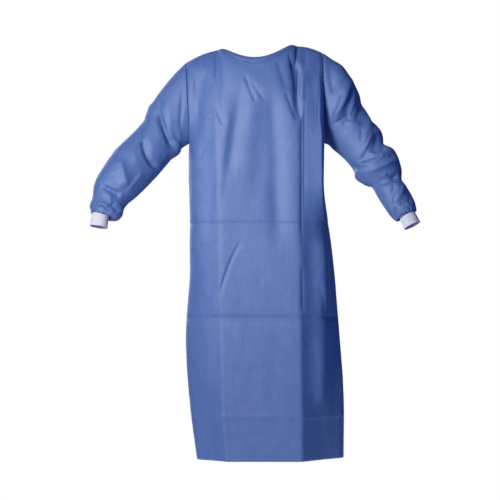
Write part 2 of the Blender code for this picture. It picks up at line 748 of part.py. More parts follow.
def build():
    clear_scene()
    cloth = cloth_material("nonwoven_blue", BLUE, 0.7)
    knit = cloth_material("rib_knit_white", WHITE, 0.85)

    front = front_panel()
    back_right = back_panel(BACK_RIGHT_STRETCHES, False)
    back_left = back_panel(BACK_LEFT_STRETCHES, True)
    cloth_wall("front", *front[:2], WALL, cloth)
    cloth_wall("back_right", *back_right[:2], WALL, cloth)
    cloth_wall("back_left", *back_left[:2], WALL, cloth)
    cloth_wall("neck_band", *neck_band(front, back_right, back_left), WALL, cloth)

    left = sleeve(
        -1, LEFT_SLEEVE, LEFT_CROWN, LEFT_CUFF, LEFT_SLEEVE_FOLDS, LEFT_SLEEVE_BACK_FOLDS
    )
    right = sleeve(
        1, RIGHT_SLEEVE, RIGHT_CROWN, RIGHT_CUFF, RIGHT_SLEEVE_FOLDS, RIGHT_SLEEVE_BACK_FOLDS
    )
    cloth_wall("sleeve_left", *left, WALL, cloth, closed=True)
    cloth_wall("sleeve_right", *right, WALL, cloth, closed=True)
    cloth_wall("cuff_left", *cuff_tube(-1, LEFT_CUFF), CUFF_WALL, knit, closed=True)
    cloth_wall("cuff_right", *cuff_tube(1, RIGHT_CUFF), CUFF_WALL, knit, closed=True)
    closures(cloth)


build()
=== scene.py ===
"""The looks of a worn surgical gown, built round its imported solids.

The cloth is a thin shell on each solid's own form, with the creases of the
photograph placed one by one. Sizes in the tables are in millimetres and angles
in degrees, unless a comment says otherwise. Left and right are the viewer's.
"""

import functools
import math

import bpy
import numpy as np
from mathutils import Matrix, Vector, noise


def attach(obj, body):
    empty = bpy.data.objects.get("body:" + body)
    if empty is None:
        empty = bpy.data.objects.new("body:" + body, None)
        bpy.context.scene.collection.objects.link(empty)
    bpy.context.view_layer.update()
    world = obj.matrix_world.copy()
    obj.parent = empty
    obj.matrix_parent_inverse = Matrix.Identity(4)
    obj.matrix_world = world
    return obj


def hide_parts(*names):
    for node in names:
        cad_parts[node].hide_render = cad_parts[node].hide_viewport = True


MM = 0.001

# The same body, sleeves and folds as the solids have, on finer grids
UNDERARM_Z = -288.0
WAIST_Z = -436.0
HEM_Z = -1231.0
STATIONS = 8
LEFT_SEAM = 0
RIGHT_SEAM = 5
BACK_CENTRE = 6.5

BODY_COLUMNS = (
    "z", "left", "right", "fold_l", "fold_r", "front", "back",
    "side_l", "side_r", "bulge", "sharp",
)
BODY_SECTIONS = (
    (-288, -200, 201, -111, 122, 126, 118, 0, 4, 25, 0.30),
    (-436, -198, 200, -107, 122, 131, 106, -4, 6, 29, 0.24),
    (-530, -196, 214, -106, 122, 135, 112, -8, 8, 29, 0.20),
    (-676, -200, 232, -105, 125, 141, 126, -14, 10, 26, 0.16),
    (-849, -212, 247, -103, 127, 147, 138, -22, 14, 20, 0.12),
    (-1080, -199, 261, -98, 130, 151, 146, -32, 16, 10, 0.09),
    (-1245, -177, 260, -89, 132, 152, 150, -40, 16, 5, 0.07),
)
CREASE_SHARPNESS = 0.5
BACK_TURN = 0.62
SIDE_SOFTNESS = 0.5
TURN_SOFTNESS = 0.42
LEFT_OUTLINE = tuple(np.linspace(0, 1, 11))
RIGHT_OUTLINE = tuple(np.linspace(4, 5, 11))

TIP_L = (-211.0, 0.0, -46.0)
TIP_R = (197.0, 0.0, -18.0)
TIP_SHARE = 0.18
SHOULDER_RISE = 5.0
NECKLINE = {
    "left": (-102.0, -6.0), "right": (102.0, 6.0),
    "front": 84.0, "back": 76.0, "drop": 36.0, "back_drop": 34.0,
}
BAND_SEAM = {
    "left": (-116.5, -8.6), "right": (116.5, 3.0),
    "front": 92.0, "back": 83.0, "drop": 49.5, "back_drop": 45.0,
}
NECK_ROUNDNESS = 2.4
FRONT_NECK = (2.05, 2.95)
BACK_NECK = (6.05, 6.95)

FRONT_YOKE = {"swell": 88, "lift": 10, "rise": 120, "cap": 76, "over": 68, "neck": 26}
BACK_YOKE = {"swell": 76, "lift": 10, "rise": 125, "cap": 66, "over": 62, "neck": 18}
MID_SWELL = 8
LIFT_SHAPE = 1.5
TOP_FALL = {"middle": 12, "tip": 18, "neck": 44}

FLAP_STEP = 4.5
FLAP_STEP_STATIONS = (0.75, 0.40)

TUBE_COLUMNS = ("out", "y", "z", "half", "deep", "lean", "pitch")
LEFT_SLEEVE = (
    (256, 6, -220, 87, 70, 59, 0),
    (272, 4, -240, 78, 68, 50, 5),
    (286, -2, -262, 69, 66, 39, 12),
    (324, -20, -309, 70, 67, 42, 18),
    (372, -46, -363, 72, 68, 43, 20),
    (408, -66, -408, 66, 64, 40, 22),
    (430, -80, -438, 59, 57, 30, 22),
    (440, -92, -468, 50, 48, 19, 20),
    (447, -100, -492, 50, 49, 18, 18),
    (452, -105, -506, 42, 41, 19, 16),
    (457, -107, -508, 34, 33, 14, 14),
)
RIGHT_SLEEVE = (
    (247, 4, -199, 101, 82, 72, 0),
    (262, 2, -220, 94, 78, 68, 4),
    (280, -4, -247, 83, 72, 63, 10),
    (301, -14, -279, 72, 66, 57, 14),
    (324, -26, -309, 68, 62, 51, 16),
    (334, -36, -336, 62, 56, 46, 18),
    (352, -46, -354, 72, 66, 37, 20),
    (373, -60, -387, 61, 58, 24, 22),
    (384, -70, -410, 46.5, 46, 10, 22),
    (399, -80, -434, 45.5, 45, 18, 20),
    (420, -92, -469, 43.5, 43, 26, 18),
    (431, -99, -490, 40.5, 40, 26, 16),
    (440, -104, -506, 32, 32, 28, 14),
)
LEFT_CROWN = 5.0
RIGHT_CROWN = 11.0
LEFT_CUFF = (
    (461, -104, -494, 25.5, 25.5, 9, 10),
    (468, -112, -541, 26.5, 26.0, 9, 10),
)
RIGHT_CUFF = (
    (437, -101, -493, 25.0, 25.0, 26, 12),
    (458, -110, -537, 26.0, 25.5, 26, 12),
)

FRONT_FOLDS = (
    (105, -30, 126, -90, 124, -230, 13, -7, 3),
    (128, -50, 112, -150, 124, -240, 10, -4, -2),
    (-160, -60, -176, -160, -196, -260, 22, -6, 0),
    (165, -60, 182, -170, 190, -275, 20, -6, 0),
    (-38, -110, -60, -240, -96, -420, 26, -5, 0),
    (8, -120, 20, -260, 6, -470, 30, -5, 0),
    (180, -520, 196, -760, 192, -1120, 24, 9, 0),
    (226, -560, 240, -800, 236, -1180, 18, -5, 0),
)
BACK_FOLDS = (
    (-130, -90, -150, -220, -150, -420, 24, -6, 0),
    (135, -90, 150, -230, 146, -420, 24, -6, 0),
    (-120, -470, -135, -760, -128, -1200, 26, 8, 0),
    (110, -470, 128, -780, 130, -1200, 26, 8, 0),
    (-30, -480, -20, -700, -36, -1000, 24, -6, 0),
)
LEFT_SLEEVE_FOLDS = (
    (-300, -190, -272, -250, -246, -318, 9, -8, 3),
    (-345, -268, -330, -335, -296, -376, 10, -8, -3),
    (-420, -335, -398, -380, -380, -430, 20, 6, 0),
    (-462, -412, -425, -440, -398, -448, 9, -6, 3),
)
RIGHT_SLEEVE_FOLDS = (
    (258, -90, 296, -150, 262, -252, 14, -8, 4),
    (330, -190, 348, -245, 300, -300, 12, 6, 0),
    (392, -296, 350, -330, 300, -352, 9, -8, 3),
    (428, -336, 380, -350, 318, -384, 10, 7, 0),
    (424, -388, 392, -398, 346, -408, 8, -8, 0),
    (436, -410, 420, -450, 404, -480, 9, 6, 0),
)
LEFT_SLEEVE_BACK_FOLDS = (
    (-340, -215, -300, -270, -262, -300, 14, -6, 0),
    (-390, -290, -352, -340, -322, -372, 12, 6, 0),
    (-440, -380, -410, -410, -380, -432, 12, -6, 0),
)
RIGHT_SLEEVE_BACK_FOLDS = (
    (300, -120, 286, -200, 250, -272, 16, -6, 0),
    (368, -282, 330, -320, 296, -336, 10, -7, 0),
    (420, -340, 372, -362, 330, -380, 12, 6, 0),
    (440, -400, 414, -430, 390, -452, 10, -5, 0),
)

# Where folds and creases fade out: at the side seams, by station, under a
# panel's top edge, by height, and at a sleeve's ends, by share from the wrist.
# Of four places, the cloth is smooth outside the first and the last.
EDGE_FADE = 0.5
FRONT_TOP_FADE = (-60.0, -20.0)
BACK_TOP_FADE = (-70.0, -30.0)
SLEEVE_FOLD_ENDS = (0.14, 0.24, 0.88, 1)
SLEEVE_CREASE_ENDS = (0, 0.05, 0.965, 1)
FRONT_CREASE_ENDS = (0, 0.12, 4.88, 5)
BACK_CREASE_ENDS = (5, 5.12, 7.88, 8)
CREASE_TOP_FADE = (0.97, 1)
# How far creases and swells reach round a sleeve, by how much its cloth faces the camera
CREASES_SEEN = (-0.02, 0.28)
WAVES_SEEN = (-0.9, -0.2)
# The middle of the back keeps a share of its creases and of its swells
MIDDLE_BACK = (6.05, 6.2, 6.8, 6.95)
MIDDLE_CREASES = 0.25
MIDDLE_SWELLS = 0.3

# Packing left soft folds across the front, with a sharp line along each: the
# height of each on the body, and how far it stands out
PACKING_FOLDS = ((-531.0, 0.6), (-812.0, -3.0), (-1100.0, 2.5))
PACKING_FOLD_WIDTH = 30.0
PACKING_LINES = ((-531.0, -3.8), (-812.0, -4.4), (-1100.0, 3.6))
PACKING_LINE_WIDTH = 5.5

# The chest beside the right packing fold lies nearly flat as far as the side:
# it leaves the round form at a start width, drops, falls back by a slope, and
# fades out between two stations short of the side seam
RIGHT_CHEST = {
    "start": 134.0, "front_end": 4.5, "drop": 4.2, "slope": 0.10, "fall": (4.25, 4.95),
    "low_fade": (-600.0, -400.0), "top_fade": (-120.0, -45.0),
}

# The ties by side and station of their outer end, and the tails by side, length
# and drift. A tie is drawn in at the knot to a share of its width.
TIE_WIDTH = 26.0
TIES = {"tie_left": (-1, 7.85), "tie_right": (1, 5.15)}
TIE_GRID = (13, 70)
TIE_LIFT = 2.2
TIE_PLEATS = 2.5
KNOT_SIZE = (34.0, 11.0, 30.0)
KNOT_GRID = (56, 40)
KNOT_SHARE = 0.66
TAILS = {"tail_left": (-1, 262.0, -34.0), "tail_right": (1, 226.0, 27.0)}
TAIL_GRID = (91, 11)
TAIL_LIFT = 2.3
TAIL_START = 6.0
TAB_STATIONS = (6.16, 6.45)
TAB_HEIGHTS = (-92.0, -62.0)
TAB_ROWS = 12
TAB_LIFT = 2.0

# How thick the cloth of the shells is, and how finely each is laid out
CLOTH = 0.9
KNIT = 1.6
BAND_CLOTH = 1.3
TIE_CLOTH = 1.0
TAB_CLOTH = 1.2
SEAM_GAP = 0.25
GRID_MARGIN = 0.02
SAME_STATION = 1e-6
YOKE_ROWS = 108
SKIRT_ROWS = 150
BACK_YOKE_ROWS = 72
BACK_SKIRT_ROWS = 96
TUBE_AROUND = 200
ARMHOLE_RINGS = 14
TUBE_STEPS = 14
FRONT_STRETCHES = ((0, 0), (1, 20), (2, 32), (2.05, 4), (2.95, 70), (3, 4), (4, 34), (5, 20))
BACK_RIGHT_STRETCHES = ((5, 0), (6, 34), (6.05, 3), (6.75, 46))
BACK_LEFT_STRETCHES = ((6.25, 0), (6.95, 46), (7, 3), (8, 34))
BACK_STRETCHES = ((5, 0), (6, 34), (6.05, 3), (6.95, 59), (7, 3), (8, 34))

# The camera, and the photograph's own places: its pixels as the camera sees them
CAMERA = (-0.021, -7.0, -0.609)
LENS = 168.0
PIXEL = 3.0
PHOTO_MIDDLE = 250.0

# Creases of the photograph. Each runs from its start through its bend to its
# end, in pixels of the photograph, and its width, height and step are in mm.
FRONT_CREASES = (
    # the pair of short wrinkles under the neckline
    (243, 72, 250, 88, 256, 105, 4.5, -3.2, 1),
    (251, 80, 257, 92, 266, 102, 5, -2.4, 0.8),
    # the right yoke's folds
    (287, 48, 290, 62, 296, 71, 5, -4, 1.6),
    (298, 62, 299, 78, 297, 95, 6, -4.8, 1.6),
    (285, 90, 290, 106, 298, 124, 6, -3.4, 1.2),
    (303, 98, 303, 108, 299, 121, 5, -2.6, -0.8),
    (276, 58, 280, 70, 287, 92, 11, -3.2, 0.8),
    (305, 50, 306, 62, 304, 76, 9, -2, 0),
    # the left yoke's wrinkles
    (216, 50, 215, 66, 216, 84, 6, -3.4, 1),
    (199, 77, 206, 84, 212, 94, 4.5, -1.8, 0.6),
    (202, 71, 208, 79, 213, 87, 4.5, -1.6, 0.4),
    (196, 84, 203, 90, 208, 97, 4.5, -1, 0.3),
    (214, 103, 217, 116, 224, 127, 5.5, -2.8, 1),
    (196, 121, 208, 120, 222, 124, 4.5, -1.5, 0.5),
    (198, 127, 210, 126, 224, 129, 4.5, -1.5, 0.5),
    (197, 133, 208, 133, 218, 134, 5, -0.9, 0.3),
    (199, 161, 203, 153, 206, 146, 4.5, -1.8, 0.6),
    # beside the right packing fold of the chest
    (302, 104, 302, 170, 302, 262, 5, -4.5, 0),
    # the skirt
    (242, 239, 226, 262, 216, 308, 3.6, -3.2, 1.4),
    (192, 256, 204, 248, 221, 241, 7, -2.2, 0.6),
    (302, 262, 303, 290, 303, 318, 5, -4, 0),
    (316, 282, 322, 300, 323, 317, 6, -2.4, 0),
    (334, 286, 337, 304, 334, 318, 6, -3, 0),
    (212, 406, 214, 398, 217, 391, 4.5, -1.6, 0.6),
    (241, 345, 249, 341, 258, 343, 5, -1.2, 0.4),
    (222, 318, 226, 330, 240, 346, 8, -1.2, 0),
)
# Broad soft waves of the front, in the same columns
FRONT_WAVES = (
    (270, 84, 277, 130, 278, 262, 26, -9, 0),
    (243, 62, 236, 130, 222, 196, 16, -2.2, 0),
    (229, 98, 228, 150, 214, 214, 14, 2.6, 0),
    (209, 110, 205, 124, 203, 146, 12, 2, 0),
    (196, 120, 194, 190, 196, 280, 24, 7, 0),
    (320, 228, 321, 270, 324, 314, 17, 8, 0),
    (318, 326, 320, 370, 320, 412, 15, 5, 0),
    (246, 372, 262, 366, 284, 372, 12, -1.4, 0),
    (228, 440, 250, 434, 288, 438, 10, -1.2, 0),
)
LEFT_SLEEVE_CREASES = (
    (187, 70, 179, 100, 181, 141, 6, -5, 1.6),
    (184, 104, 183, 122, 178, 146, 7, 3, 0),
    (161, 93, 155, 112, 163, 126, 8, -6, 2),
    (160, 120, 167, 134, 175, 151, 4.5, -6, 1.8),
    (150, 98, 150, 112, 154, 128, 8, 2.6, 0),
    (168, 96, 168, 112, 172, 132, 7, 1.8, 0),
    (143, 123, 142, 132, 143, 140, 4.5, -5, 1.8),
    (141, 137, 143, 160, 160, 172, 4.5, -6.4, 2),
    (146, 142, 153, 152, 158, 158, 6, -1.6, 0),
    (172, 153, 166, 160, 159, 171, 5, -4, 1),
    (143, 171, 134, 182, 124, 194, 8, 3.6, -2),
    (122, 157, 123, 172, 128, 190, 8, 3, 0),
    (113, 172, 116, 178, 118, 186, 9, -2.4, 0),
    (102, 184, 110, 192, 125, 194, 5, -4, 1.8),
    (98, 190, 101, 196, 107, 203, 6, -2.4, 0),
    (108, 192, 110, 198, 112, 205, 6, 2.2, 0),
    (95, 204, 103, 203, 109, 208, 6, 5, 0),
    (98, 205, 104, 209, 110, 214, 5, -6, 0),
    (110, 203, 115, 208, 119, 213, 6, -6, 0),
    (114, 202, 121, 206, 123, 212, 7, 4, 0),
    (132, 148, 136, 156, 138, 164, 8, 1.6, 0),
)
RIGHT_SLEEVE_CREASES = (
    (321, 62, 322, 98, 326, 138, 6, -6, -1),
    (326, 60, 331, 74, 331, 92, 9, -5, 1.4),
    (322, 66, 326, 86, 329, 122, 6, 3, 0),
    (331, 95, 336, 87, 347, 81, 5, -4.4, 1.8),
    (350, 82, 346, 104, 331, 124, 7, 5, 2),
    (343, 90, 340, 104, 332, 114, 7, -2.4, 0),
    (357, 88, 356, 104, 350, 121, 11, -6, 3),
    (328, 127, 336, 121, 346, 117, 4.5, -5, -1.8),
    (344, 121, 352, 122, 362, 123, 6, 2.8, 1.6),
    (362, 128, 360, 136, 361, 143, 6, -3.4, 1.2),
    (373, 128, 370, 146, 352, 166, 7, 4.6, 0),
    (378, 130, 377, 144, 372, 153, 9, -4.6, 0),
    (366, 153, 376, 153, 384, 148, 5, 3.4, 1),
    (368, 157, 376, 158, 382, 154, 5, -3.4, 0),
    (366, 167, 378, 163, 386, 149, 6, 4.2, 0),
    (351, 165, 359, 170, 367, 165, 4.5, -6, 0),
    (390, 152, 392, 158, 396, 161, 8, -3, 0),
    (360, 173, 376, 170, 396, 160, 7, 3.6, 0),
    (385, 174, 392, 177, 399, 177, 4.5, -4.4, 1),
    (371, 185, 384, 183, 399, 177, 5, -8, -1.8),
    (399, 181, 397, 193, 392, 204, 6, 4.6, 0),
    (394, 183, 393, 194, 391, 203, 5, -3.4, 0),
    (408, 184, 410, 194, 410, 206, 9, -3.6, 0),
    (399, 204, 403, 206, 408, 204, 5, -2.8, 1),
    (394, 206, 395, 213, 397, 220, 5, -4, 1),
    (383, 186, 384, 192, 388, 196, 7, 1.8, 0),
    (345, 130, 350, 140, 352, 150, 12, 2, 0),
)
# Broad swells of the sleeves that reach round their outlines
SLEEVE_WAVES = {
    -1: (
        (176, 138, 178, 152, 176, 162, 12, 9, 0),
        (150, 100, 147, 112, 145, 120, 12, 3, 0),
    ),
    1: (
        (334, 54, 352, 84, 354, 122, 26, 10, 0),
        (350, 78, 343, 98, 333, 122, 9, 6, 0),
        (366, 86, 364, 104, 356, 124, 12, -6, 0),
        (374, 118, 383, 132, 384, 146, 14, 6, 0),
    ),
}
# The same kind of creases on the sides that the photograph doesn't show, in mm
BACK_CREASES = (
    (-96, -70, -110, -140, -104, -200, 7, -3.4, 1.2),
    (-136, -110, -150, -170, -160, -250, 8, -3, 1),
    (92, -74, 108, -130, 118, -220, 7, -3.4, -1.2),
    (140, -96, 158, -150, 162, -236, 9, -3, 1),
    (44, -90, 60, -200, 62, -400, 18, -3, 0),
    (-60, -130, -52, -240, -40, -410, 16, -3, 0),
    (-176, -452, -120, -470, -60, -452, 8, -2.6, 0.8),
    (176, -456, 130, -476, 70, -456, 8, -2.6, 0.8),
    (-150, -470, -110, -520, -84, -600, 9, -3, 1),
    (150, -470, 112, -530, 92, -640, 9, -3, 1),
    (60, -700, 80, -780, 66, -880, 10, -2.4, 0.8),
    (-180, -700, -150, -760, -146, -860, 9, -3, 1),
    (170, -900, 150, -1000, 158, -1100, 10, -3, 1),
    (-90, -1000, -70, -1060, -80, -1150, 9, -2.4, 0.8),
)
LEFT_SLEEVE_BACK_CREASES = (
    (-240, -110, -262, -170, -236, -250, 9, -4.6, 1.4),
    (-300, -180, -290, -240, -262, -290, 8, -4, 1.4),
    (-350, -262, -336, -318, -300, -350, 8, -4.6, 1.6),
    (-410, -330, -400, -372, -372, -400, 9, 3.4, 0),
    (-470, -420, -440, -440, -410, -446, 7, -3.6, 1.2),
    (-380, -290, -392, -340, -420, -380, 12, 2.6, 0),
)
RIGHT_SLEEVE_BACK_CREASES = (
    (230, -60, 262, -130, 240, -230, 9, -4.6, 1.4),
    (320, -170, 312, -230, 276, -280, 9, 4, 0),
    (372, -262, 350, -296, 306, -316, 7, -5, 1.4),
    (400, -300, 372, -330, 330, -352, 8, 4.4, 0),
    (432, -352, 400, -372, 362, -392, 7, -5, 1.4),
    (440, -396, 410, -404, 372, -408, 7, 4, 0),
    (456, -440, 430, -452, 410, -470, 7, -3.2, 1),
)
FOLD_COLUMNS = ("x0", "z0", "xm", "zm", "x1", "z1", "width", "height", "step")
FOLD_POINTS = 14
FOLD_REACH = 3.2
FOLD_ENDS = (0, 0.25, 0.75, 1)
CREASE_ROUNDNESS = 1.25

# Uneven soft swell of worn cloth: the size of its bumps, how high they are,
# and how much longer they are down the cloth than across it
SWELLS = ((95.0, 1.9, 2.2), (38.0, 0.8, 1.8), (15.0, 0.22, 1.0))
FRONT_SEED = 3.0
BACK_SEED = 11.0
SLEEVE_SEEDS = {-1: 5.0, 1: 7.0}

# Seams: a groove, and puckers off it whose pitch drifts along the seam
PUCKER = {
    "groove": 2.2, "depth": 0.9, "height": 0.55, "pitch": 13.0, "reach": 9.0,
    "drift": 1.7, "drift_length": 31.0, "top_share": 0.7,
}
BAND = {
    "rows": 9, "proud": 1.1, "ripple": 0.35, "ripple_length": 6.2,
    "drift": 1.3, "drift_length": 23.0,
}

# Gathers at the wrist: waves round the sleeve and their height, and where they
# start and fade out, as shares of the sleeve's length
GATHERS = {
    "count": 19, "height": 2.3, "second": 31, "second_height": 1.1,
    "start": (0, 0.02), "fade": (0.03, 0.16),
}
RIBS = {"count": 46, "height": 0.55, "rows": 40, "steps": 6, "sag": 0.6, "edge": 0.7}

# Colours: the deep and the light of each cloth and of the floor, and a yarn's front and the painted
# shade of the gaps between its loops
BLUE = ((0.037, 0.100, 0.320), (0.052, 0.130, 0.380))
BAND_BLUE = ((0.032, 0.088, 0.290), (0.046, 0.115, 0.345))
YARN_AND_GAP_SHADE = ((0.70, 0.70, 0.79), (0.50, 0.49, 0.62))
FLOOR_WHITE = ((0.86, 0.86, 0.87), (0.9, 0.9, 0.91))
WHITE = (1, 1, 1)

# Lights by place, target and size in metres, power in watts, colour and spread
# in degrees. The key light keeps to the chest and falls off round it.
LIGHTS = {
    "key": ((-1.3, -2.3, 0.1), (0.08, -0.12, -0.36), (0.8, 0.8), 18.4, (1.0, 0.96, 0.85), 82.0),
    "fill": ((2.6, -3.4, -0.2), (0.1, 0, -0.6), (2.2, 2.6), 5.0, (0.30, 0.50, 1.0), 180.0),
    "top": ((0.2, 0.4, 2.4), (0, 0, -0.4), (2.4, 2.4), 4.0, WHITE, 180.0),
    "behind": ((-1.6, 3.6, 0.6), (0, 0, -0.6), (2.4, 2.4), 150.0, WHITE, 180.0),
}
SURROUND = {"Color": (0.20, 0.36, 1.0, 1.0), "Strength": 0.25}
FLOOR = {"radius": 0.9, "z": -1.75, "steps": 96, "glow": 0.75}


def ease(low, high, at):
    """0 below low, 1 above high and smooth between."""
    t = np.clip((np.asarray(at, float) - low) / (high - low), 0, 1)
    return t * t * (3 - 2 * t)


def within(ends, at):
    """0 outside the first and last of four places, 1 from the second to the third."""
    start, full, fading, end = ends
    return ease(start, full, at) * (1 - ease(fading, end, at))


def unit(vectors):
    length = np.linalg.norm(vectors, axis=-1, keepdims=True)
    return vectors / np.maximum(length, 1e-9)


def smooth_between(keys, values, at):
    """A smooth curve through (keys, values), whose keys rise or fall, read at `at`."""
    keys, values = np.asarray(keys, float), np.asarray(values, float)
    if keys[0] > keys[-1]:
        keys, values = keys[::-1], values[::-1]
    at = float(np.clip(at, keys[0], keys[-1]))
    slopes = np.gradient(values, keys)
    i = int(np.clip(np.searchsorted(keys, at, side="right") - 1, 0, len(keys) - 2))
    span = keys[i + 1] - keys[i]
    t = (at - keys[i]) / span
    start = values[i] * (1 + 2 * t) * (1 - t) ** 2 + slopes[i] * span * t * (1 - t) ** 2
    end = values[i + 1] * t * t * (3 - 2 * t) + slopes[i + 1] * span * t * t * (t - 1)
    return start + end


def body_section(z):
    """The body table's values at height z, by name."""
    heights, *columns = zip(*BODY_SECTIONS)
    values = [smooth_between(heights, column, z) for column in columns]
    return dict(zip(BODY_COLUMNS[1:], values))


def front_turn(fold, side, bulge):
    """Where the ring turns between a packing fold and a side seam."""
    run = side - fold
    outward = np.array([math.copysign(abs(run[1]), side[0]), -abs(run[0])])
    return (fold + side) / 2 + bulge * outward / np.hypot(*run)


def ring_point(corners, softness, u):
    """The point of a rounded polygon at station u."""
    i = int(round(u)) % STATIONS
    offset = (u - i + STATIONS / 2) % STATIONS - STATIONS / 2
    here = corners[i]
    before, after = corners[i - 1] - here, corners[(i + 1) % STATIONS] - here
    soft = softness[i]
    if abs(offset) >= soft:
        return here + (after if offset > 0 else before) * abs(offset)
    return here + (before * (soft - offset) ** 2 + after * (soft + offset) ** 2) / (4 * soft)


@functools.cache
def body_stations(z):
    """The ring's corners at height z and how soft each is, as wide as the table says."""
    at = body_section(z)
    side_l = np.array([at["left"], at["side_l"]])
    side_r = np.array([at["right"], at["side_r"]])
    fold_l = np.array([at["fold_l"], -at["front"]])
    fold_r = np.array([at["fold_r"], -at["front"]])
    points = np.array([
        side_l,
        front_turn(fold_l, side_l, at["bulge"]),
        fold_l,
        fold_r,
        front_turn(fold_r, side_r, at["bulge"]),
        side_r,
        (BACK_TURN * at["right"], at["back"]),
        (BACK_TURN * at["left"], at["back"]),
    ])
    side, turn, fold = SIDE_SOFTNESS, TURN_SOFTNESS, at["sharp"] * CREASE_SHARPNESS
    softness = np.array([side, turn, fold, fold, turn, side, side, side])
    share = softness[:, None] / 4
    corners = (points - share * (np.roll(points, 1, 0) + np.roll(points, -1, 0))) / (1 - 2 * share)
    for stations, reach in ((LEFT_OUTLINE, at["left"]), (RIGHT_OUTLINE, at["right"])):
        found = [ring_point(corners, softness, u)[0] for u in stations]
        widest = max(found, key=abs)
        nearest = [round(stations[0]) % STATIONS, round(stations[-1]) % STATIONS]
        corners[nearest, 0] *= reach / widest
    return corners, softness


def body_ring(u, z):
    """The plan point of the ring at station u and height z."""
    return ring_point(*body_stations(z), u)


def shoulder_point(tip, neck, share):
    """A point of the shoulder seam, from the tip at 0 to the neck band at 1."""
    point = np.array(tip) + (np.array([neck[0], 0, neck[1]]) - np.array(tip)) * share
    point[2] += SHOULDER_RISE * math.sin(math.pi * share)
    return point


def neck_point(loop, share, front):
    """A point of the neckline or the band's seam, from its left end at 0 to its right end at 1."""
    turn = math.pi * share
    middle = (loop["left"][0] + loop["right"][0]) / 2
    reach = (loop["right"][0] - loop["left"][0]) / 2
    level = loop["left"][1] + (loop["right"][1] - loop["left"][1]) * (1 - math.cos(turn)) / 2
    depth = -loop["front"] if front else loop["back"]
    drop = loop["drop"] if front else loop["back_drop"]
    return np.array([
        middle - reach * math.cos(turn),
        depth * math.sin(turn),
        level - drop * max(math.sin(turn), 0) ** NECK_ROUNDNESS,
    ])


def front_top(u):
    """The front panel's top edge at station u."""
    low, high = FRONT_NECK
    if u < low:
        share = np.interp(u, [0, 1, low], [0, TIP_SHARE, 1])
        return shoulder_point(TIP_L, BAND_SEAM["left"], share)
    if u > high:
        share = np.interp(RIGHT_SEAM - u, [0, 1, RIGHT_SEAM - high], [0, TIP_SHARE, 1])
        return shoulder_point(TIP_R, BAND_SEAM["right"], share)
    return neck_point(BAND_SEAM, (u - low) / (high - low), True)


def back_top(u):
    """The back panels' top edge at station u."""
    low, high = BACK_NECK
    if u < low:
        share = max(0, (u - RIGHT_SEAM) / (low - RIGHT_SEAM))
        return shoulder_point(TIP_R, BAND_SEAM["right"], share)
    if u > high:
        share = max(0, (STATIONS - u) / (STATIONS - high))
        return shoulder_point(TIP_L, BAND_SEAM["left"], share)
    return neck_point(BAND_SEAM, (high - u) / (high - low), False)


def yoke_point(u, t, front):
    """A point above the underarm: t runs from 0 there to 1 at the top edge."""
    shape, forward = (FRONT_YOKE, -1) if front else (BACK_YOKE, 1)
    top = front_top(u) if front else back_top(u)
    foot = np.array([*body_ring(u, UNDERARM_Z), UNDERARM_Z])
    inward = min(u, RIGHT_SEAM - u) if front else min(u - RIGHT_SEAM, STATIONS - u)
    beside = float(np.clip(1 - inward, 0, 1))
    at_neck = abs(top[1]) / BAND_SEAM["front" if front else "back"]
    swell = MID_SWELL + (shape["swell"] - MID_SWELL) * beside
    lift = shape["rise"] + (shape["lift"] - shape["rise"]) * beside ** LIFT_SHAPE
    over = shape["over"] + (shape["cap"] - shape["over"]) * beside
    over += (shape["neck"] - shape["over"]) * at_neck
    fall = TOP_FALL["middle"] + TOP_FALL["tip"] * beside + TOP_FALL["neck"] * at_neck
    first = foot + np.array([0, forward * swell, lift])
    second = top + np.array([0, forward * over, -fall])
    s = 1 - t
    return s ** 3 * foot + 3 * s * s * t * first + 3 * s * t * t * second + t ** 3 * top


def skirt_heights(rows):
    """Heights of the grid's rows below the underarm, with a row on each packing fold."""
    heights = list(np.linspace(HEM_Z, UNDERARM_Z, rows + 1))
    for fold, _ in PACKING_FOLDS:
        nearest = min(range(len(heights)), key=lambda i: abs(heights[i] - fold))
        heights[nearest] = fold
    return heights


def body_grid(stations, front, yoke_rows, skirt_rows):
    """Rows of points from the hem up to the top edge, one for each station."""
    rows = [[[*body_ring(u, z), z] for u in stations] for z in skirt_heights(skirt_rows)]
    shoulder_trim = SEAM_GAP / 2 / (3 * FRONT_YOKE["over"])
    for t in np.linspace(0, 1 - shoulder_trim, yoke_rows + 1)[1:]:
        rows.append([yoke_point(u, t, front) for u in stations])
    return np.array(rows)


def grid_normals(points, closed=False):
    """Unit normals of a grid, whose last column meets its first one if it is closed."""
    if closed:
        across = np.roll(points, -1, 1) - np.roll(points, 1, 1)
    else:
        across = np.gradient(points, axis=1)
    return unit(np.cross(across, np.gradient(points, axis=0)))


def fold_line(row):
    """Points along a fold, a curve through its start, bend and end."""
    at = dict(zip(FOLD_COLUMNS, row))
    t = np.linspace(0, 1, FOLD_POINTS + 1)
    x = (1 - t) ** 2 * at["x0"] + 2 * t * (1 - t) * at["xm"] + t * t * at["x1"]
    z = (1 - t) ** 2 * at["z0"] + 2 * t * (1 - t) * at["zm"] + t * t * at["z1"]
    return x, z


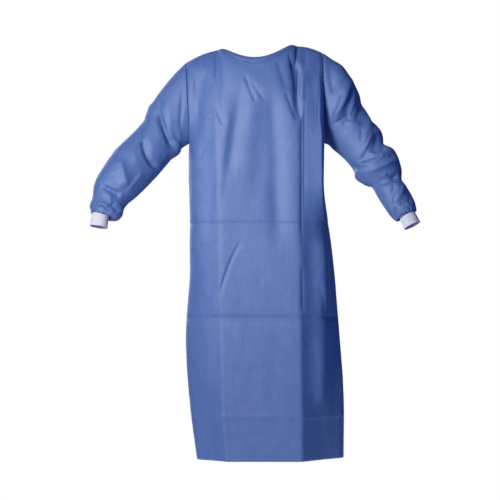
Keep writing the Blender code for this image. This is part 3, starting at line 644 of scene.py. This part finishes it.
def fold_heights(x, z, folds, scale=1.0, roundness=2.0):
    """How high the table's folds raise the cloth at places of a flat view of it.

    A fold's section is a soft bump at a roundness of 2 and has a sharper line below that.
    """
    total = np.zeros_like(x)
    for row in folds:
        width, height, step = row[-3:]
        line_x, line_z = fold_line(row)
        reach = FOLD_REACH * width / scale
        near = (x > line_x.min() - reach) & (x < line_x.max() + reach)
        near &= (z > line_z.min() - reach) & (z < line_z.max() + reach)
        here_x, here_z = x[near], z[near]
        nearest = np.full_like(here_x, 1e9)
        side, along = np.zeros_like(here_x), np.zeros_like(here_x)
        for i in range(FOLD_POINTS):
            run_x, run_z = line_x[i + 1] - line_x[i], line_z[i + 1] - line_z[i]
            offset = (here_x - line_x[i]) * run_x + (here_z - line_z[i]) * run_z
            share = np.clip(offset / (run_x ** 2 + run_z ** 2), 0, 1)
            off_x = here_x - line_x[i] - share * run_x
            off_z = here_z - line_z[i] - share * run_z
            distance = np.hypot(off_x, off_z)
            closer = distance < nearest
            nearest = np.where(closer, distance, nearest)
            side = np.where(closer, np.sign(run_x * off_z - run_z * off_x), side)
            along = np.where(closer, (i + share) / FOLD_POINTS, along)
        ratio = nearest * scale / width
        bump = np.exp(-ratio ** roundness) * (height + 2 * step * side * ratio)
        total[near] += within(FOLD_ENDS, along) * bump
    return total


def packing_heights(z, folds, width):
    """The ridges and valleys left across the front by packing."""
    return np.sum([high * np.exp(-np.abs(z - fold) / width) for fold, high in folds], axis=0)


def photo_places(points):
    """Where the camera sees points, in the photograph's pixels."""
    camera = np.array(CAMERA) / MM
    apart = points - camera
    scale = abs(camera[1]) / apart[..., 1] / PIXEL
    return PHOTO_MIDDLE + apart[..., 0] * scale, PHOTO_MIDDLE - apart[..., 2] * scale


def swell_heights(points, seed):
    """Soft uneven bumps over a grid, from smooth noise."""
    total = np.zeros(points.shape[:2])
    flat = points.reshape(-1, 3)
    for size, height, longer in SWELLS:
        scale = np.array([1 / size, 1 / size, 1 / size / longer])
        values = [noise.noise(Vector(point) + Vector((seed, 0, 0))) for point in flat * scale]
        total += height * np.array(values).reshape(total.shape)
    return total


def pucker(distance, along):
    """A seam's groove and the small puckers that run off it."""
    groove = np.exp(-(distance / PUCKER["groove"]) ** 2)
    drift = PUCKER["drift"] * np.sin(along / PUCKER["drift_length"])
    waves = np.sin(2 * math.pi * along / PUCKER["pitch"] + drift)
    return -PUCKER["depth"] * groove + PUCKER["height"] * waves * np.exp(-distance / PUCKER["reach"])


def lengths(points, axis):
    """How far along the cloth each point of a grid is from the grid's first edge."""
    steps = np.linalg.norm(np.diff(points, axis=axis), axis=-1)
    edge = np.zeros((1, points.shape[1]) if axis == 0 else (points.shape[0], 1))
    return np.concatenate([edge, np.cumsum(steps, axis=axis)], axis=axis)


def grid_faces(rows, columns, closed=False):
    """The faces of a grid, whose last column meets its first one if it is closed."""
    cells = columns if closed else columns - 1
    r, c = np.meshgrid(np.arange(rows - 1), np.arange(cells), indexing="ij")
    low, c = r.ravel() * columns, c.ravel()
    high, d = low + columns, (c + 1) % columns
    return np.stack([low + c, low + d, high + d, high + c], 1)


def cloth_shell(name, points, normals, wall, material, slot, closed=False):
    """A thin shell whose outer face is the grid of points, with UVs along its cloth in metres."""
    rows, columns = points.shape[:2]
    inner = points - normals * wall
    verts = np.concatenate([points.reshape(-1, 3), inner.reshape(-1, 3)]) * MM
    outer_faces = grid_faces(rows, columns, closed)
    below = rows * columns
    c = np.arange(columns if closed else columns - 1)
    d = (c + 1) % columns
    top = (rows - 1) * columns
    rims = [
        np.stack([d, c, c + below, d + below], 1),
        np.stack([top + c, top + d, top + d + below, top + c + below], 1),
    ]
    if not closed:
        r = np.arange(rows - 1) * columns
        up, last = r + columns, columns - 1
        rims.append(np.stack([r, up, up + below, r + below], 1))
        rims.append(np.stack([up + last, r + last, r + last + below, up + last + below], 1))
    faces = np.concatenate([outer_faces, outer_faces[:, ::-1] + below, *rims])
    along = np.stack([lengths(points, 1), lengths(points, 0)], -1).reshape(-1, 2) * MM
    return place_piece(name, verts, faces.tolist(), along[faces.ravel() % below], material)


def place_piece(name, verts, faces, uvs, material):
    """Puts a piece in the scene in place of its solid. Its UVs go round each face in turn."""
    mesh = bpy.data.meshes.new(name)
    mesh.from_pydata(verts.tolist(), [], faces)
    mesh.uv_layers.new(name="cloth").data.foreach_set("uv", uvs.ravel())
    mesh.materials.append(material)
    mesh.shade_smooth()
    made = bpy.data.objects.new(name + "_cloth", mesh)
    link(made)
    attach(made, "root")
    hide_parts(name)
    return made


def panel_stations(stretches):
    """The stations of a panel's grid. It stops short of a side seam by half the seam's gap."""
    found = [float(stretches[0][0])]
    for (low, _), (high, cells) in zip(stretches, stretches[1:]):
        found.extend(np.linspace(low, high, cells + 1)[1:])
    found = np.array(found)
    side_run = BODY_SECTIONS[0][BODY_COLUMNS.index("front")] - MID_SWELL
    trim = SEAM_GAP / 2 / side_run
    for seam in (LEFT_SEAM, RIGHT_SEAM, STATIONS):
        found[found == seam] += trim if seam == found[0] else -trim
    return found


def panel_grid(stations, front, yoke_rows, skirt_rows):
    """A body panel's points and normals before its folds. Seams share their normals."""
    wide = [stations[0] - GRID_MARGIN, *stations, stations[-1] + GRID_MARGIN]
    points = body_grid(wide, front, yoke_rows, skirt_rows)
    normals = grid_normals(points)[:, 1:-1]
    low, high = FRONT_NECK if front else BACK_NECK
    at_shoulder = (stations <= low) | (stations >= high)
    normals[-1, at_shoulder, 1] = 0
    return points[:, 1:-1], unit(normals)


def between_seams(stations, first, last):
    """1 inside a panel, fading to 0 at the side seams, for each column."""
    return within((first, first + EDGE_FADE, last - EDGE_FADE, last), stations)


def side_seam_pucker(points, at_first, at_last):
    """Puckers along a panel's side seams, at its first or last column, and the armholes above."""
    across, up = lengths(points, 1), lengths(points, 0)
    total = np.zeros(points.shape[:2])
    if at_first:
        total += pucker(across, up[:, :1])
    if at_last:
        total += pucker(across[:, -1:] - across, up[:, -1:])
    return total


def top_pucker(points):
    """Puckers under the shoulder seams and the neck band."""
    up = lengths(points, 0)
    return PUCKER["top_share"] * pucker(up[-1:, :] - up, lengths(points, 1)[-1:, :])


def front_panel():
    stations = panel_stations(FRONT_STRETCHES)
    points, normals = panel_grid(stations, True, YOKE_ROWS, SKIRT_ROWS)
    z, up = points[..., 2], lengths(points, 0)
    inside = between_seams(stations, LEFT_SEAM, RIGHT_SEAM)
    heights = fold_heights(points[..., 0], z, FRONT_FOLDS)
    heights += packing_heights(z, PACKING_FOLDS, PACKING_FOLD_WIDTH)
    heights *= inside * (1 - ease(*FRONT_TOP_FADE, z))
    fine = fold_heights(*photo_places(points), FRONT_CREASES, PIXEL, CREASE_ROUNDNESS)
    fine += fold_heights(*photo_places(points), FRONT_WAVES, PIXEL)
    fine += packing_heights(z, PACKING_LINES, PACKING_LINE_WIDTH) * inside
    fine += swell_heights(points, FRONT_SEED)
    heights += fine * within(FRONT_CREASE_ENDS, stations) * (1 - ease(*CREASE_TOP_FADE, up / up[-1:]))
    heights += side_seam_pucker(points, True, True)
    heights += top_pucker(points)
    points[..., 1] -= right_chest(points, stations)
    return points + normals * heights[..., None], normals, stations


def right_chest(points, stations):
    """How far the chest lies in front of its round form beside the right packing fold."""
    at = RIGHT_CHEST
    x, y, z = points[..., 0], points[..., 1], points[..., 2]
    front = stations < at["front_end"]
    level = np.array([np.interp(at["start"], xs[front], ys[front]) for xs, ys in zip(x, y)])
    flat = level[:, None] + at["drop"] + at["slope"] * (x - at["start"])
    behind = np.where(x > at["start"], np.maximum(y - flat, 0), 0)
    fall = 1 - ease(*at["fall"], stations)
    return behind * fall * ease(*at["low_fade"], z) * (1 - ease(*at["top_fade"], z))


def flap_cover(stations):
    """How far the inner flap has stepped in at each station, from 0 to 1."""
    far, near = FLAP_STEP_STATIONS
    return ease(BACK_CENTRE - far, BACK_CENTRE - near, stations)


def back_panel(stretches, outer):
    """One back panel. The inner one steps in where the outer flap covers it."""
    stations = panel_stations(stretches)
    points, normals = panel_grid(stations, False, BACK_YOKE_ROWS, BACK_SKIRT_ROWS)
    x, z = points[..., 0], points[..., 2]
    top_fade = 1 - ease(*BACK_TOP_FADE, z)
    heights = fold_heights(x, z, BACK_FOLDS)
    heights *= between_seams(stations, RIGHT_SEAM, STATIONS) * top_fade
    beside = 1 - within(MIDDLE_BACK, stations)
    creases = fold_heights(x, z, BACK_CREASES, 1.0, CREASE_ROUNDNESS)
    creases *= MIDDLE_CREASES + (1 - MIDDLE_CREASES) * beside
    creases += swell_heights(points, BACK_SEED) * (MIDDLE_SWELLS + (1 - MIDDLE_SWELLS) * beside)
    heights += creases * within(BACK_CREASE_ENDS, stations) * top_fade
    heights += side_seam_pucker(points, not outer, outer)
    heights += top_pucker(points)
    if not outer:
        heights -= FLAP_STEP * flap_cover(stations)
    return points + normals * heights[..., None], normals, stations


def columns_within(stations, low, high):
    return (stations >= low - SAME_STATION) & (stations <= high + SAME_STATION)


def band_edge(panel, neck, front):
    """Where the band meets a panel's top edge: its points, normals and neckline points."""
    points, normals, stations = panel
    low, high = neck
    kept = columns_within(stations, low, high)
    edge, turned = points[-1, kept][::-1], normals[-1, kept][::-1]
    shares = (stations[kept][::-1] - low) / (high - low)
    if not front:
        shares = 1 - shares
    seam = np.array([neck_point(BAND_SEAM, share, front) for share in shares])
    rim = np.array([neck_point(NECKLINE, share, front) for share in shares])
    return edge, turned, rim + edge - seam


def neck_band(front, back_right, back_left):
    """The folded strip round the neckline, a little proud of the panels."""
    right = band_edge(back_right, BACK_NECK, False)
    middle = band_edge(front, FRONT_NECK, True)
    left = band_edge(back_left, BACK_NECK, False)
    edge, turned, rim = [
        np.concatenate([r[:-1], m, l[1:]])[::-1] for r, m, l in zip(right, middle, left)
    ]
    shares = np.linspace(0, 1, BAND["rows"])
    points = np.array([edge + (rim - edge) * share for share in shares])
    normals = grid_normals(points)
    normals[0] = unit(turned + normals[0])
    along = lengths(points, 1)
    proud = BAND["proud"] * np.sin(math.pi * np.clip(shares * 1.15 + 0.02, 0, 1)) ** 0.6
    drift = BAND["drift"] * np.sin(along / BAND["drift_length"])
    ripple = BAND["ripple"] * np.sin(along / BAND["ripple_length"] + drift)
    ripple *= np.sin(math.pi * shares)[:, None]
    return points + normals * (proud[:, None] + ripple)[..., None], normals


def armhole_loop(side, turn):
    """A point of the armhole: 0 is the shoulder tip and half a turn on is the underarm."""
    front = turn <= 0.5
    t = 1 - 2 * turn if front else 2 * turn - 1
    if side < 0:
        return yoke_point(LEFT_SEAM if front else STATIONS, t, front)
    return yoke_point(RIGHT_SEAM, t, front)


def tube_ring(side, section, turns):
    """An oval ring of a sleeve or cuff."""
    at = dict(zip(TUBE_COLUMNS, section))
    lean, pitch = math.radians(at["lean"]), math.radians(at["pitch"])
    outward = np.array([side * math.cos(lean), 0, math.sin(lean)])
    down = np.array([side * math.sin(lean), 0, -math.cos(lean)])
    forward = np.array([0, -math.cos(pitch), 0]) - down * math.sin(pitch)
    centre = np.array([side * at["out"], at["y"], at["z"]])
    angle = 2 * math.pi * turns[:, None]
    return centre + at["half"] * np.cos(angle) * outward + at["deep"] * np.sin(angle) * forward


def tube_rings(side, table, turns, steps):
    """Rings through the rows of the table, and smooth between them."""
    keys = np.arange(len(table))
    places = np.linspace(0, len(table) - 1, steps * (len(table) - 1) + 1)
    sections = [[smooth_between(keys, column, at) for column in zip(*table)] for at in places]
    return [tube_ring(side, section, turns) for section in sections]


def upward(side, rings):
    """A tube's grid with its rows from the wrist up, so that its normals point out."""
    points = np.array(rings)[::-1]
    return points[:, ::-1] if side > 0 else points


def gathered_root(cuff):
    """The sleeve's last ring, gathered round the cuff a seam's gap away."""
    out, y, z, half, deep, lean, pitch = cuff[0]
    return out, y, z, half + SEAM_GAP, deep + SEAM_GAP, lean, pitch


def gather_heights(up, columns, side):
    """Small gathers round the sleeve where it is drawn in to the cuff."""
    turn = 2 * math.pi * np.arange(columns)[None, :] / columns
    uneven = 0.5 + 0.5 * np.sin(2 * turn + side) + 0.3 * np.sin(5 * turn)
    waves = GATHERS["height"] * np.sin(GATHERS["count"] * turn + 1.5 * np.sin(3 * turn))
    waves = waves * (0.55 + 0.45 * uneven)
    waves += GATHERS["second_height"] * np.sin(GATHERS["second"] * turn + np.sin(4 * turn))
    return waves * ease(*GATHERS["start"], up) * (1 - ease(*GATHERS["fade"], up)) ** 1.5


def sleeve(side, table, crown, cuff, folds, creases):
    """A sleeve from the armhole to where it is gathered onto the cuff.

    Its folds and creases are those of its front and those of its back.
    """
    front_folds, back_folds = folds
    front_creases, back_creases = creases
    turns = np.arange(TUBE_AROUND) / TUBE_AROUND
    start = np.array([armhole_loop(side, turn) for turn in turns])
    start[:, 0] += side * SEAM_GAP
    first = tube_ring(side, table[0], turns)
    rise = np.maximum(np.cos(2 * math.pi * turns), 0) * crown
    rings = []
    for share in np.linspace(0, 1, ARMHOLE_RINGS + 1)[:-1]:
        ring = start + (first - start) * share
        ring[:, 2] += rise * math.sin(math.pi * share)
        rings.append(ring)
    rings += tube_rings(side, (*table, gathered_root(cuff)), turns, TUBE_STEPS)
    points = upward(side, rings)
    normals = grid_normals(points, True)
    normals[-1, :, 0] = 0
    normals = unit(normals)
    x, z, facing = points[..., 0], points[..., 2], -normals[..., 1]
    to_front, to_back = ease(0, EDGE_FADE, facing), ease(0, EDGE_FADE, -facing)
    heights = fold_heights(x, z, front_folds) * to_front
    heights += fold_heights(x, z, back_folds) * to_back
    up = np.linspace(0, 1, len(points))[:, None]
    heights *= within(SLEEVE_FOLD_ENDS, up)
    waves = fold_heights(*photo_places(points), SLEEVE_WAVES[side], PIXEL) * ease(*WAVES_SEEN, facing)
    fine = fold_heights(*photo_places(points), front_creases, PIXEL, CREASE_ROUNDNESS)
    fine *= ease(*CREASES_SEEN, facing)
    fine += fold_heights(x, z, back_creases, 1.0, CREASE_ROUNDNESS) * to_back
    fine += swell_heights(points, SLEEVE_SEEDS[side]) + waves
    fine *= within(SLEEVE_CREASE_ENDS, up)
    heights = heights + fine + gather_heights(up, TUBE_AROUND, side)
    from_armhole = lengths(points, 0)[-1:] - lengths(points, 0)
    heights += pucker(from_armhole, lengths(points, 1)[-1:, :])
    return points + normals * heights[..., None], normals


def cuff_tube(side, table):
    """A rib knit cuff: ribs run down it, and its end is a little flared."""
    columns = RIBS["count"] * RIBS["steps"]
    turns = np.arange(columns) / columns
    shares = np.linspace(0, 1, RIBS["rows"] + 1)
    top, end = np.array(table, float)
    points = upward(side, [tube_ring(side, top + (end - top) * share, turns) for share in shares])
    normals = grid_normals(points, True)
    turn = 2 * math.pi * turns[None, :]
    from_end = np.linspace(0, 1, len(shares))[:, None]
    ribs = RIBS["height"] * (np.abs(np.cos(turn * RIBS["count"] / 2)) ** 0.8 - 0.75)
    sag = 0.9 * np.sin(3 * turn + 2 * from_end) + 0.7 * np.sin(5 * turn - 3 * from_end + side)
    edge = RIBS["edge"] * np.exp(-((from_end - 0.03) / 0.05) ** 2)
    heights = ribs - 0.4 + RIBS["sag"] * sag * (1 - from_end) + edge
    return points + normals * heights[..., None], normals


def row_at(panel, z):
    """The panel's points and normals at height z, one for each of its columns."""
    points, normals, _ = panel
    found, turned = [], []
    for c in range(points.shape[1]):
        heights = points[:, c, 2]
        r = int(np.clip(np.searchsorted(heights, z) - 1, 0, len(heights) - 2))
        share = (z - heights[r]) / (heights[r + 1] - heights[r])
        found.append(points[r, c] * (1 - share) + points[r + 1, c] * share)
        turned.append(normals[r, c] * (1 - share) + normals[r + 1, c] * share)
    return np.array(found), unit(np.array(turned))


def strip_over(panel, stations, heights, lift):
    """A strip over a panel's outer face, between two stations, at these heights."""
    kept = columns_within(panel[2], *stations)
    points, normals = np.array([row_at(panel, z) for z in heights]).transpose(1, 0, 2, 3)
    return points[:, kept] + normals[:, kept] * lift, normals[:, kept]


def depth_at(back, x, z):
    """The y of the back's outer face at a place of the back view."""
    points, _ = row_at(back, z)
    return np.interp(x, points[::-1, 0], points[::-1, 1])


def knot_place(back):
    """Where the back's centre line crosses the waist, on the outer flap."""
    points, _ = row_at(back, WAIST_Z)
    return [np.interp(BACK_CENTRE, back[2], points[:, axis]) for axis in range(3)]


def waist_tie(back, side, station):
    """A tie from near a side seam to the knot, drawn in and pleated towards it."""
    rows, columns = TIE_GRID
    across, along = np.linspace(-0.5, 0.5, rows), np.linspace(0, 1, columns)
    middle, _ = row_at(back, WAIST_Z)
    outer_x = np.interp(station, back[2], middle[:, 0])
    knot_x = knot_place(back)[0] + side * (KNOT_SIZE[0] / 2 - 4)
    x = outer_x + (knot_x - outer_x) * along
    drawn = 1 - (1 - KNOT_SHARE) * ease(0.6, 1, along)
    points = np.array([
        np.stack([x, depth_at(back, x, WAIST_Z + offset), WAIST_Z + offset * drawn], axis=1)
        for offset in across * TIE_WIDTH
    ])
    pleats = np.cos(across * 2 * math.pi * TIE_PLEATS)[:, None] * ease(0.45, 1, along)
    sag = 0.8 * np.sin(along * 9.0) * (1 - ease(0.85, 1, along))
    heights = TIE_LIFT + 0.8 * pleats + 0.5 * sag
    if side < 0:
        points, heights = points[:, ::-1], heights[:, ::-1]
    normals = grid_normals(points)
    return points + normals * heights[..., None], normals


def tail(back, side, length, drift):
    """A tie's free end, which hangs from under the knot down the outer flap."""
    rows, columns = TAIL_GRID
    top = WAIST_Z - KNOT_SIZE[2] / 2 + TAIL_START
    centre = knot_place(back)[0] + side * (TIE_WIDTH / 2 + 1)
    across = np.linspace(0.5, -0.5, columns)
    grid = []
    for share in np.linspace(1, 0, rows):
        z = top - (length + TAIL_START) * share
        gather = 1 - (1 - KNOT_SHARE) * (1 - ease(0, 0.16, share))
        x = centre - side * 5 * (1 - ease(0, 0.12, share)) + drift * share ** 0.8
        x = x + TIE_WIDTH * gather * across
        away = TAIL_LIFT + 2.0 * math.sin(math.pi * share) ** 2
        away = away + 1.3 * np.cos(across * 9.0) * (1 - ease(0, 0.3, share))
        away = away + 0.8 * np.sin(across * 5.0 + share * 7) * share
        grid.append(np.stack([x, depth_at(back, x, z) + away, np.full(columns, z)], axis=1))
    points = np.array(grid)
    return points, grid_normals(points)


def tie_knot(back, material):
    """A flat knot: one loop of the tie round another, pulled tight."""
    x, y, z = knot_place(back)
    width, depth, height = KNOT_SIZE
    rows, columns = KNOT_GRID
    u = np.linspace(0, 1, rows)[:, None]
    turn = 2 * math.pi * np.linspace(0, 1, columns, endpoint=False)[None, :]
    lift = np.sin(math.pi * u)
    crease = 1 - 0.07 * np.cos(6 * turn + 5 * u) - 0.05 * np.cos(11 * turn)
    half_height = height / 2 * (0.30 + 0.70 * lift ** 0.45) * crease
    half_depth = depth / 2 * (0.35 + 0.65 * lift ** 0.5) * crease
    points = np.stack([
        np.broadcast_to(x + (u - 0.5) * width * 0.98, (rows, columns)),
        y + depth / 2 + 0.6 + half_depth * np.cos(turn),
        z + half_height * np.sin(turn) + 2.2 * np.sin(2 * math.pi * u),
    ], axis=-1)
    verts = points.reshape(-1, 3) * MM
    # The rings run the other way round than a shell's, so each face is turned over
    faces = grid_faces(rows, columns, True)[:, [0, 3, 2, 1]].tolist()
    faces.append(list(range(columns)))
    faces.append(list(reversed(range((rows - 1) * columns, rows * columns))))
    corners = verts[[v for face in faces for v in face]]
    return place_piece("tie_knot", verts, faces, corners[:, [0, 2]], material)


def new_material(name):
    made = bpy.data.materials.new(name)
    made.use_nodes = True
    tree = made.node_tree
    return made, tree, tree.nodes["Principled BSDF"]


def put(tree, node, values):
    """Sets a node's inputs by name or number, and links those that are given a socket."""
    for key, value in values.items():
        if isinstance(value, bpy.types.NodeSocket):
            tree.links.new(value, node.inputs[key])
        else:
            node.inputs[key].default_value = value


def add(tree, kind, inputs, output=0, **settings):
    """Makes a node with these settings and inputs, and gives one of its outputs."""
    node = tree.nodes.new("ShaderNode" + kind)
    for key, value in settings.items():
        setattr(node, key, value)
    put(tree, node, inputs)
    return node.outputs[output]


def calculate(tree, operation, *values):
    return add(tree, "Math", dict(enumerate(values)), operation=operation)


def stretched(tree, place, scale, turn=0.0):
    """A place scaled in the cloth's own directions and turned, in degrees."""
    inputs = {"Vector": place, "Scale": (*scale, 1.0), "Rotation": (0, 0, math.radians(turn))}
    return add(tree, "Mapping", inputs, "Vector")


def cloudy(tree, place, scale, detail, roughness=0.5, distortion=0.0):
    inputs = {"Vector": place, "Scale": scale, "Detail": detail}
    inputs.update({"Roughness": roughness, "Distortion": distortion})
    return add(tree, "TexNoise", inputs, "Fac")


def dotted(tree, place, uneven):
    """The distance from the nearest of a grid of points, one unit apart."""
    inputs = {"Vector": place, "Scale": 1.0, "Randomness": uneven}
    return add(tree, "TexVoronoi", inputs, "Distance", voronoi_dimensions="2D", feature="F1")


def bumpy(tree, height, strength, distance, under=None):
    """The normal of a surface with bumps of this height, over the bumps of another one."""
    inputs = {"Height": height, "Strength": strength, "Distance": distance}
    if under:
        inputs["Normal"] = under
    return add(tree, "Bump", inputs, "Normal")


def ramp(tree, source, *stops):
    """A colour that follows the source from stop to stop, each a place and a colour."""
    node = tree.nodes.new("ShaderNodeValToRGB")
    for element, (place, colour) in zip(node.color_ramp.elements, stops):
        element.position = place
        element.color = (*colour, 1.0)
    put(tree, node, {"Fac": source})
    return node.outputs["Color"]


def nonwoven(name, deep, light):
    """Bonded nonwoven: cloudy fibres, a fine grid of bond points and a soft sheen."""
    made, tree, shader = new_material(name)
    solid, cloth = add(tree, "TexCoord", {}, "Object"), add(tree, "TexCoord", {}, "UV")
    clouds = cloudy(tree, solid, 26.0, 6.0, 0.62)
    streaks = cloudy(tree, stretched(tree, cloth, (90.0, 12.0)), 1.0, 4.0, 0.7)
    mixed = calculate(tree, "MULTIPLY", calculate(tree, "ADD", clouds, streaks), 0.5)
    bonds = dotted(tree, stretched(tree, cloth, (420.0, 420.0), 45.0), 0.06)
    fibres = cloudy(tree, stretched(tree, cloth, (1600.0, 500.0)), 1.0, 5.0, 0.75, 1.2)
    dents = calculate(tree, "MINIMUM", bonds, 0.35)
    height = calculate(tree, "MULTIPLY_ADD", dents, 1.6, fibres)
    bumps = bumpy(tree, height, 0.5, 0.00022)
    wrinkles = cloudy(tree, solid, 75.0, 3.0, 0.55)
    put(tree, shader, {
        "Base Color": ramp(tree, mixed, (0.36, deep), (0.64, light)),
        "Normal": bumpy(tree, wrinkles, 0.35, 0.0016, bumps),
        "Roughness": add(tree, "MapRange", {"Value": fibres, "To Min": 0.62, "To Max": 0.78}, "Result"),
        "Specular IOR Level": 1.0, "IOR": 1.6,
        "Sheen Weight": 0.03, "Sheen Roughness": 0.5, "Sheen Tint": (0.55, 0.68, 1.0, 1.0),
    })
    return made


def rib_knit(name, front, gap):
    """White rib knit: a yarn's small loops down each rib, with painted shade in the gaps between them.
    """
    made, tree, shader = new_material(name)
    solid, cloth = add(tree, "TexCoord", {}, "Object"), add(tree, "TexCoord", {}, "UV")
    loops = dotted(tree, stretched(tree, cloth, (560.0, 620.0)), 0.3)
    height = calculate(tree, "SUBTRACT", cloudy(tree, solid, 900.0, 3.0), loops)
    put(tree, shader, {
        # the darker gap colour is painted shade between the yarn's loops
        "Base Color": ramp(tree, loops, (0.0, front), (0.8, gap)),
        "Normal": bumpy(tree, height, 0.6, 0.0004),
        "Roughness": 0.9, "Sheen Weight": 0.25,
    })
    return made


def plain_white(name, deep, light, glow):
    made, tree, shader = new_material(name)
    clouds = cloudy(tree, add(tree, "TexCoord", {}, "Object"), 3.0, 2.0)
    put(tree, shader, {
        "Base Color": ramp(tree, clouds, (0.0, deep), (1.0, light)), "Roughness": 0.9,
        "Emission Color": (*WHITE, 1), "Emission Strength": glow,
    })
    return made


def build_gown():
    cloth = nonwoven("nonwoven_blue", *BLUE)
    band = nonwoven("nonwoven_band", *BAND_BLUE)
    knit = rib_knit("rib_knit_white", *YARN_AND_GAP_SHADE)

    front = front_panel()
    back_right = back_panel(BACK_RIGHT_STRETCHES, False)
    back_left = back_panel(BACK_LEFT_STRETCHES, True)
    left_sleeve = sleeve(
        -1, LEFT_SLEEVE, LEFT_CROWN, LEFT_CUFF, (LEFT_SLEEVE_FOLDS, LEFT_SLEEVE_BACK_FOLDS),
        (LEFT_SLEEVE_CREASES, LEFT_SLEEVE_BACK_CREASES),
    )
    right_sleeve = sleeve(
        1, RIGHT_SLEEVE, RIGHT_CROWN, RIGHT_CUFF, (RIGHT_SLEEVE_FOLDS, RIGHT_SLEEVE_BACK_FOLDS),
        (RIGHT_SLEEVE_CREASES, RIGHT_SLEEVE_BACK_CREASES),
    )
    shells = {
        "front": (front[:2], CLOTH, cloth, "cloth"),
        "back_right": (back_right[:2], CLOTH, cloth, "cloth"),
        "back_left": (back_left[:2], CLOTH, cloth, "cloth"),
        "neck_band": (neck_band(front, back_right, back_left), BAND_CLOTH, band, "cloth_band"),
        "sleeve_left": (left_sleeve, CLOTH, cloth, "cloth", True),
        "sleeve_right": (right_sleeve, CLOTH, cloth, "cloth", True),
        "cuff_left": (cuff_tube(-1, LEFT_CUFF), KNIT, knit, "rib_knit", True),
        "cuff_right": (cuff_tube(1, RIGHT_CUFF), KNIT, knit, "rib_knit", True),
    }
    for name, (grid, *looks) in shells.items():
        cloth_shell(name, *grid, *looks)

    back = back_panel(BACK_STRETCHES, True)
    for name, row in TIES.items():
        grid = waist_tie(back, *row)
        cloth_shell(name, *grid, TIE_CLOTH, band, "cloth_band")
    tie_knot(back, band)
    for name, row in TAILS.items():
        grid = tail(back, *row)
        cloth_shell(name, *grid, TIE_CLOTH, band, "cloth_band")
    grid = strip_over(back, TAB_STATIONS, np.linspace(*TAB_HEIGHTS, TAB_ROWS), TAB_LIFT)
    cloth_shell("neck_tab", *grid, TAB_CLOTH, band, "cloth_band")


def link(made):
    bpy.context.scene.collection.objects.link(made)


def add_light(name, place, target, size, power, colour, spread):
    data = bpy.data.lights.new(name, "AREA")
    data.spread = math.radians(spread)
    data.shape = "RECTANGLE"
    data.size, data.size_y = size
    data.energy = power
    data.color = colour
    made = bpy.data.objects.new(name, data)
    made.location = place
    made.rotation_euler = (Vector(target) - Vector(place)).to_track_quat("-Z", "Y").to_euler()
    link(made)


def build_stage():
    """A pale floor, a white surround and soft light from the front and a little left."""
    mesh = bpy.data.meshes.new("floor")
    turns = [2 * math.pi * i / FLOOR["steps"] for i in range(FLOOR["steps"])]
    ring = [(FLOOR["radius"] * math.cos(turn), FLOOR["radius"] * math.sin(turn), 0) for turn in turns]
    mesh.from_pydata(ring, [], [tuple(range(FLOOR["steps"]))])
    mesh.materials.append(plain_white("floor_white", *FLOOR_WHITE, FLOOR["glow"]))
    floor = bpy.data.objects.new("floor", mesh)
    floor.location = (0, 0, FLOOR["z"])
    link(floor)

    for name, row in LIGHTS.items():
        add_light(name, *row)

    world = bpy.data.worlds.new("white")
    world.use_nodes = True
    tree = world.node_tree
    lit = tree.nodes["Background"]
    put(tree, lit, SURROUND)
    seen = add(tree, "Background", {"Color": (*WHITE, 1), "Strength": 1.0})
    to_camera = add(tree, "LightPath", {}, "Is Camera Ray")
    mixed = add(tree, "MixShader", {0: to_camera, 1: lit.outputs[0], 2: seen})
    put(tree, tree.nodes["World Output"], {"Surface": mixed})
    bpy.context.scene.world = world

    camera = bpy.data.objects.new("camera", bpy.data.cameras.new("camera"))
    camera.data.lens = LENS
    camera.data.sensor_width = 36.0
    camera.data.clip_end = 50.0
    camera.location = CAMERA
    camera.rotation_euler = (math.radians(90), 0, 0)
    link(camera)
    bpy.context.scene.camera = camera
    bpy.context.scene.view_settings.view_transform = "Standard"


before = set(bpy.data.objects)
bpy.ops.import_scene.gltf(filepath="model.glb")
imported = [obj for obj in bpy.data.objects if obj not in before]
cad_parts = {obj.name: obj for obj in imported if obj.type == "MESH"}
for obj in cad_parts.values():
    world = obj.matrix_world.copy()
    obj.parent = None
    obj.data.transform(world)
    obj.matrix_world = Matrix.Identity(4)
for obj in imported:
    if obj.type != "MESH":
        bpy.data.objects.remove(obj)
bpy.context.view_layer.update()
build_gown()
build_stage()
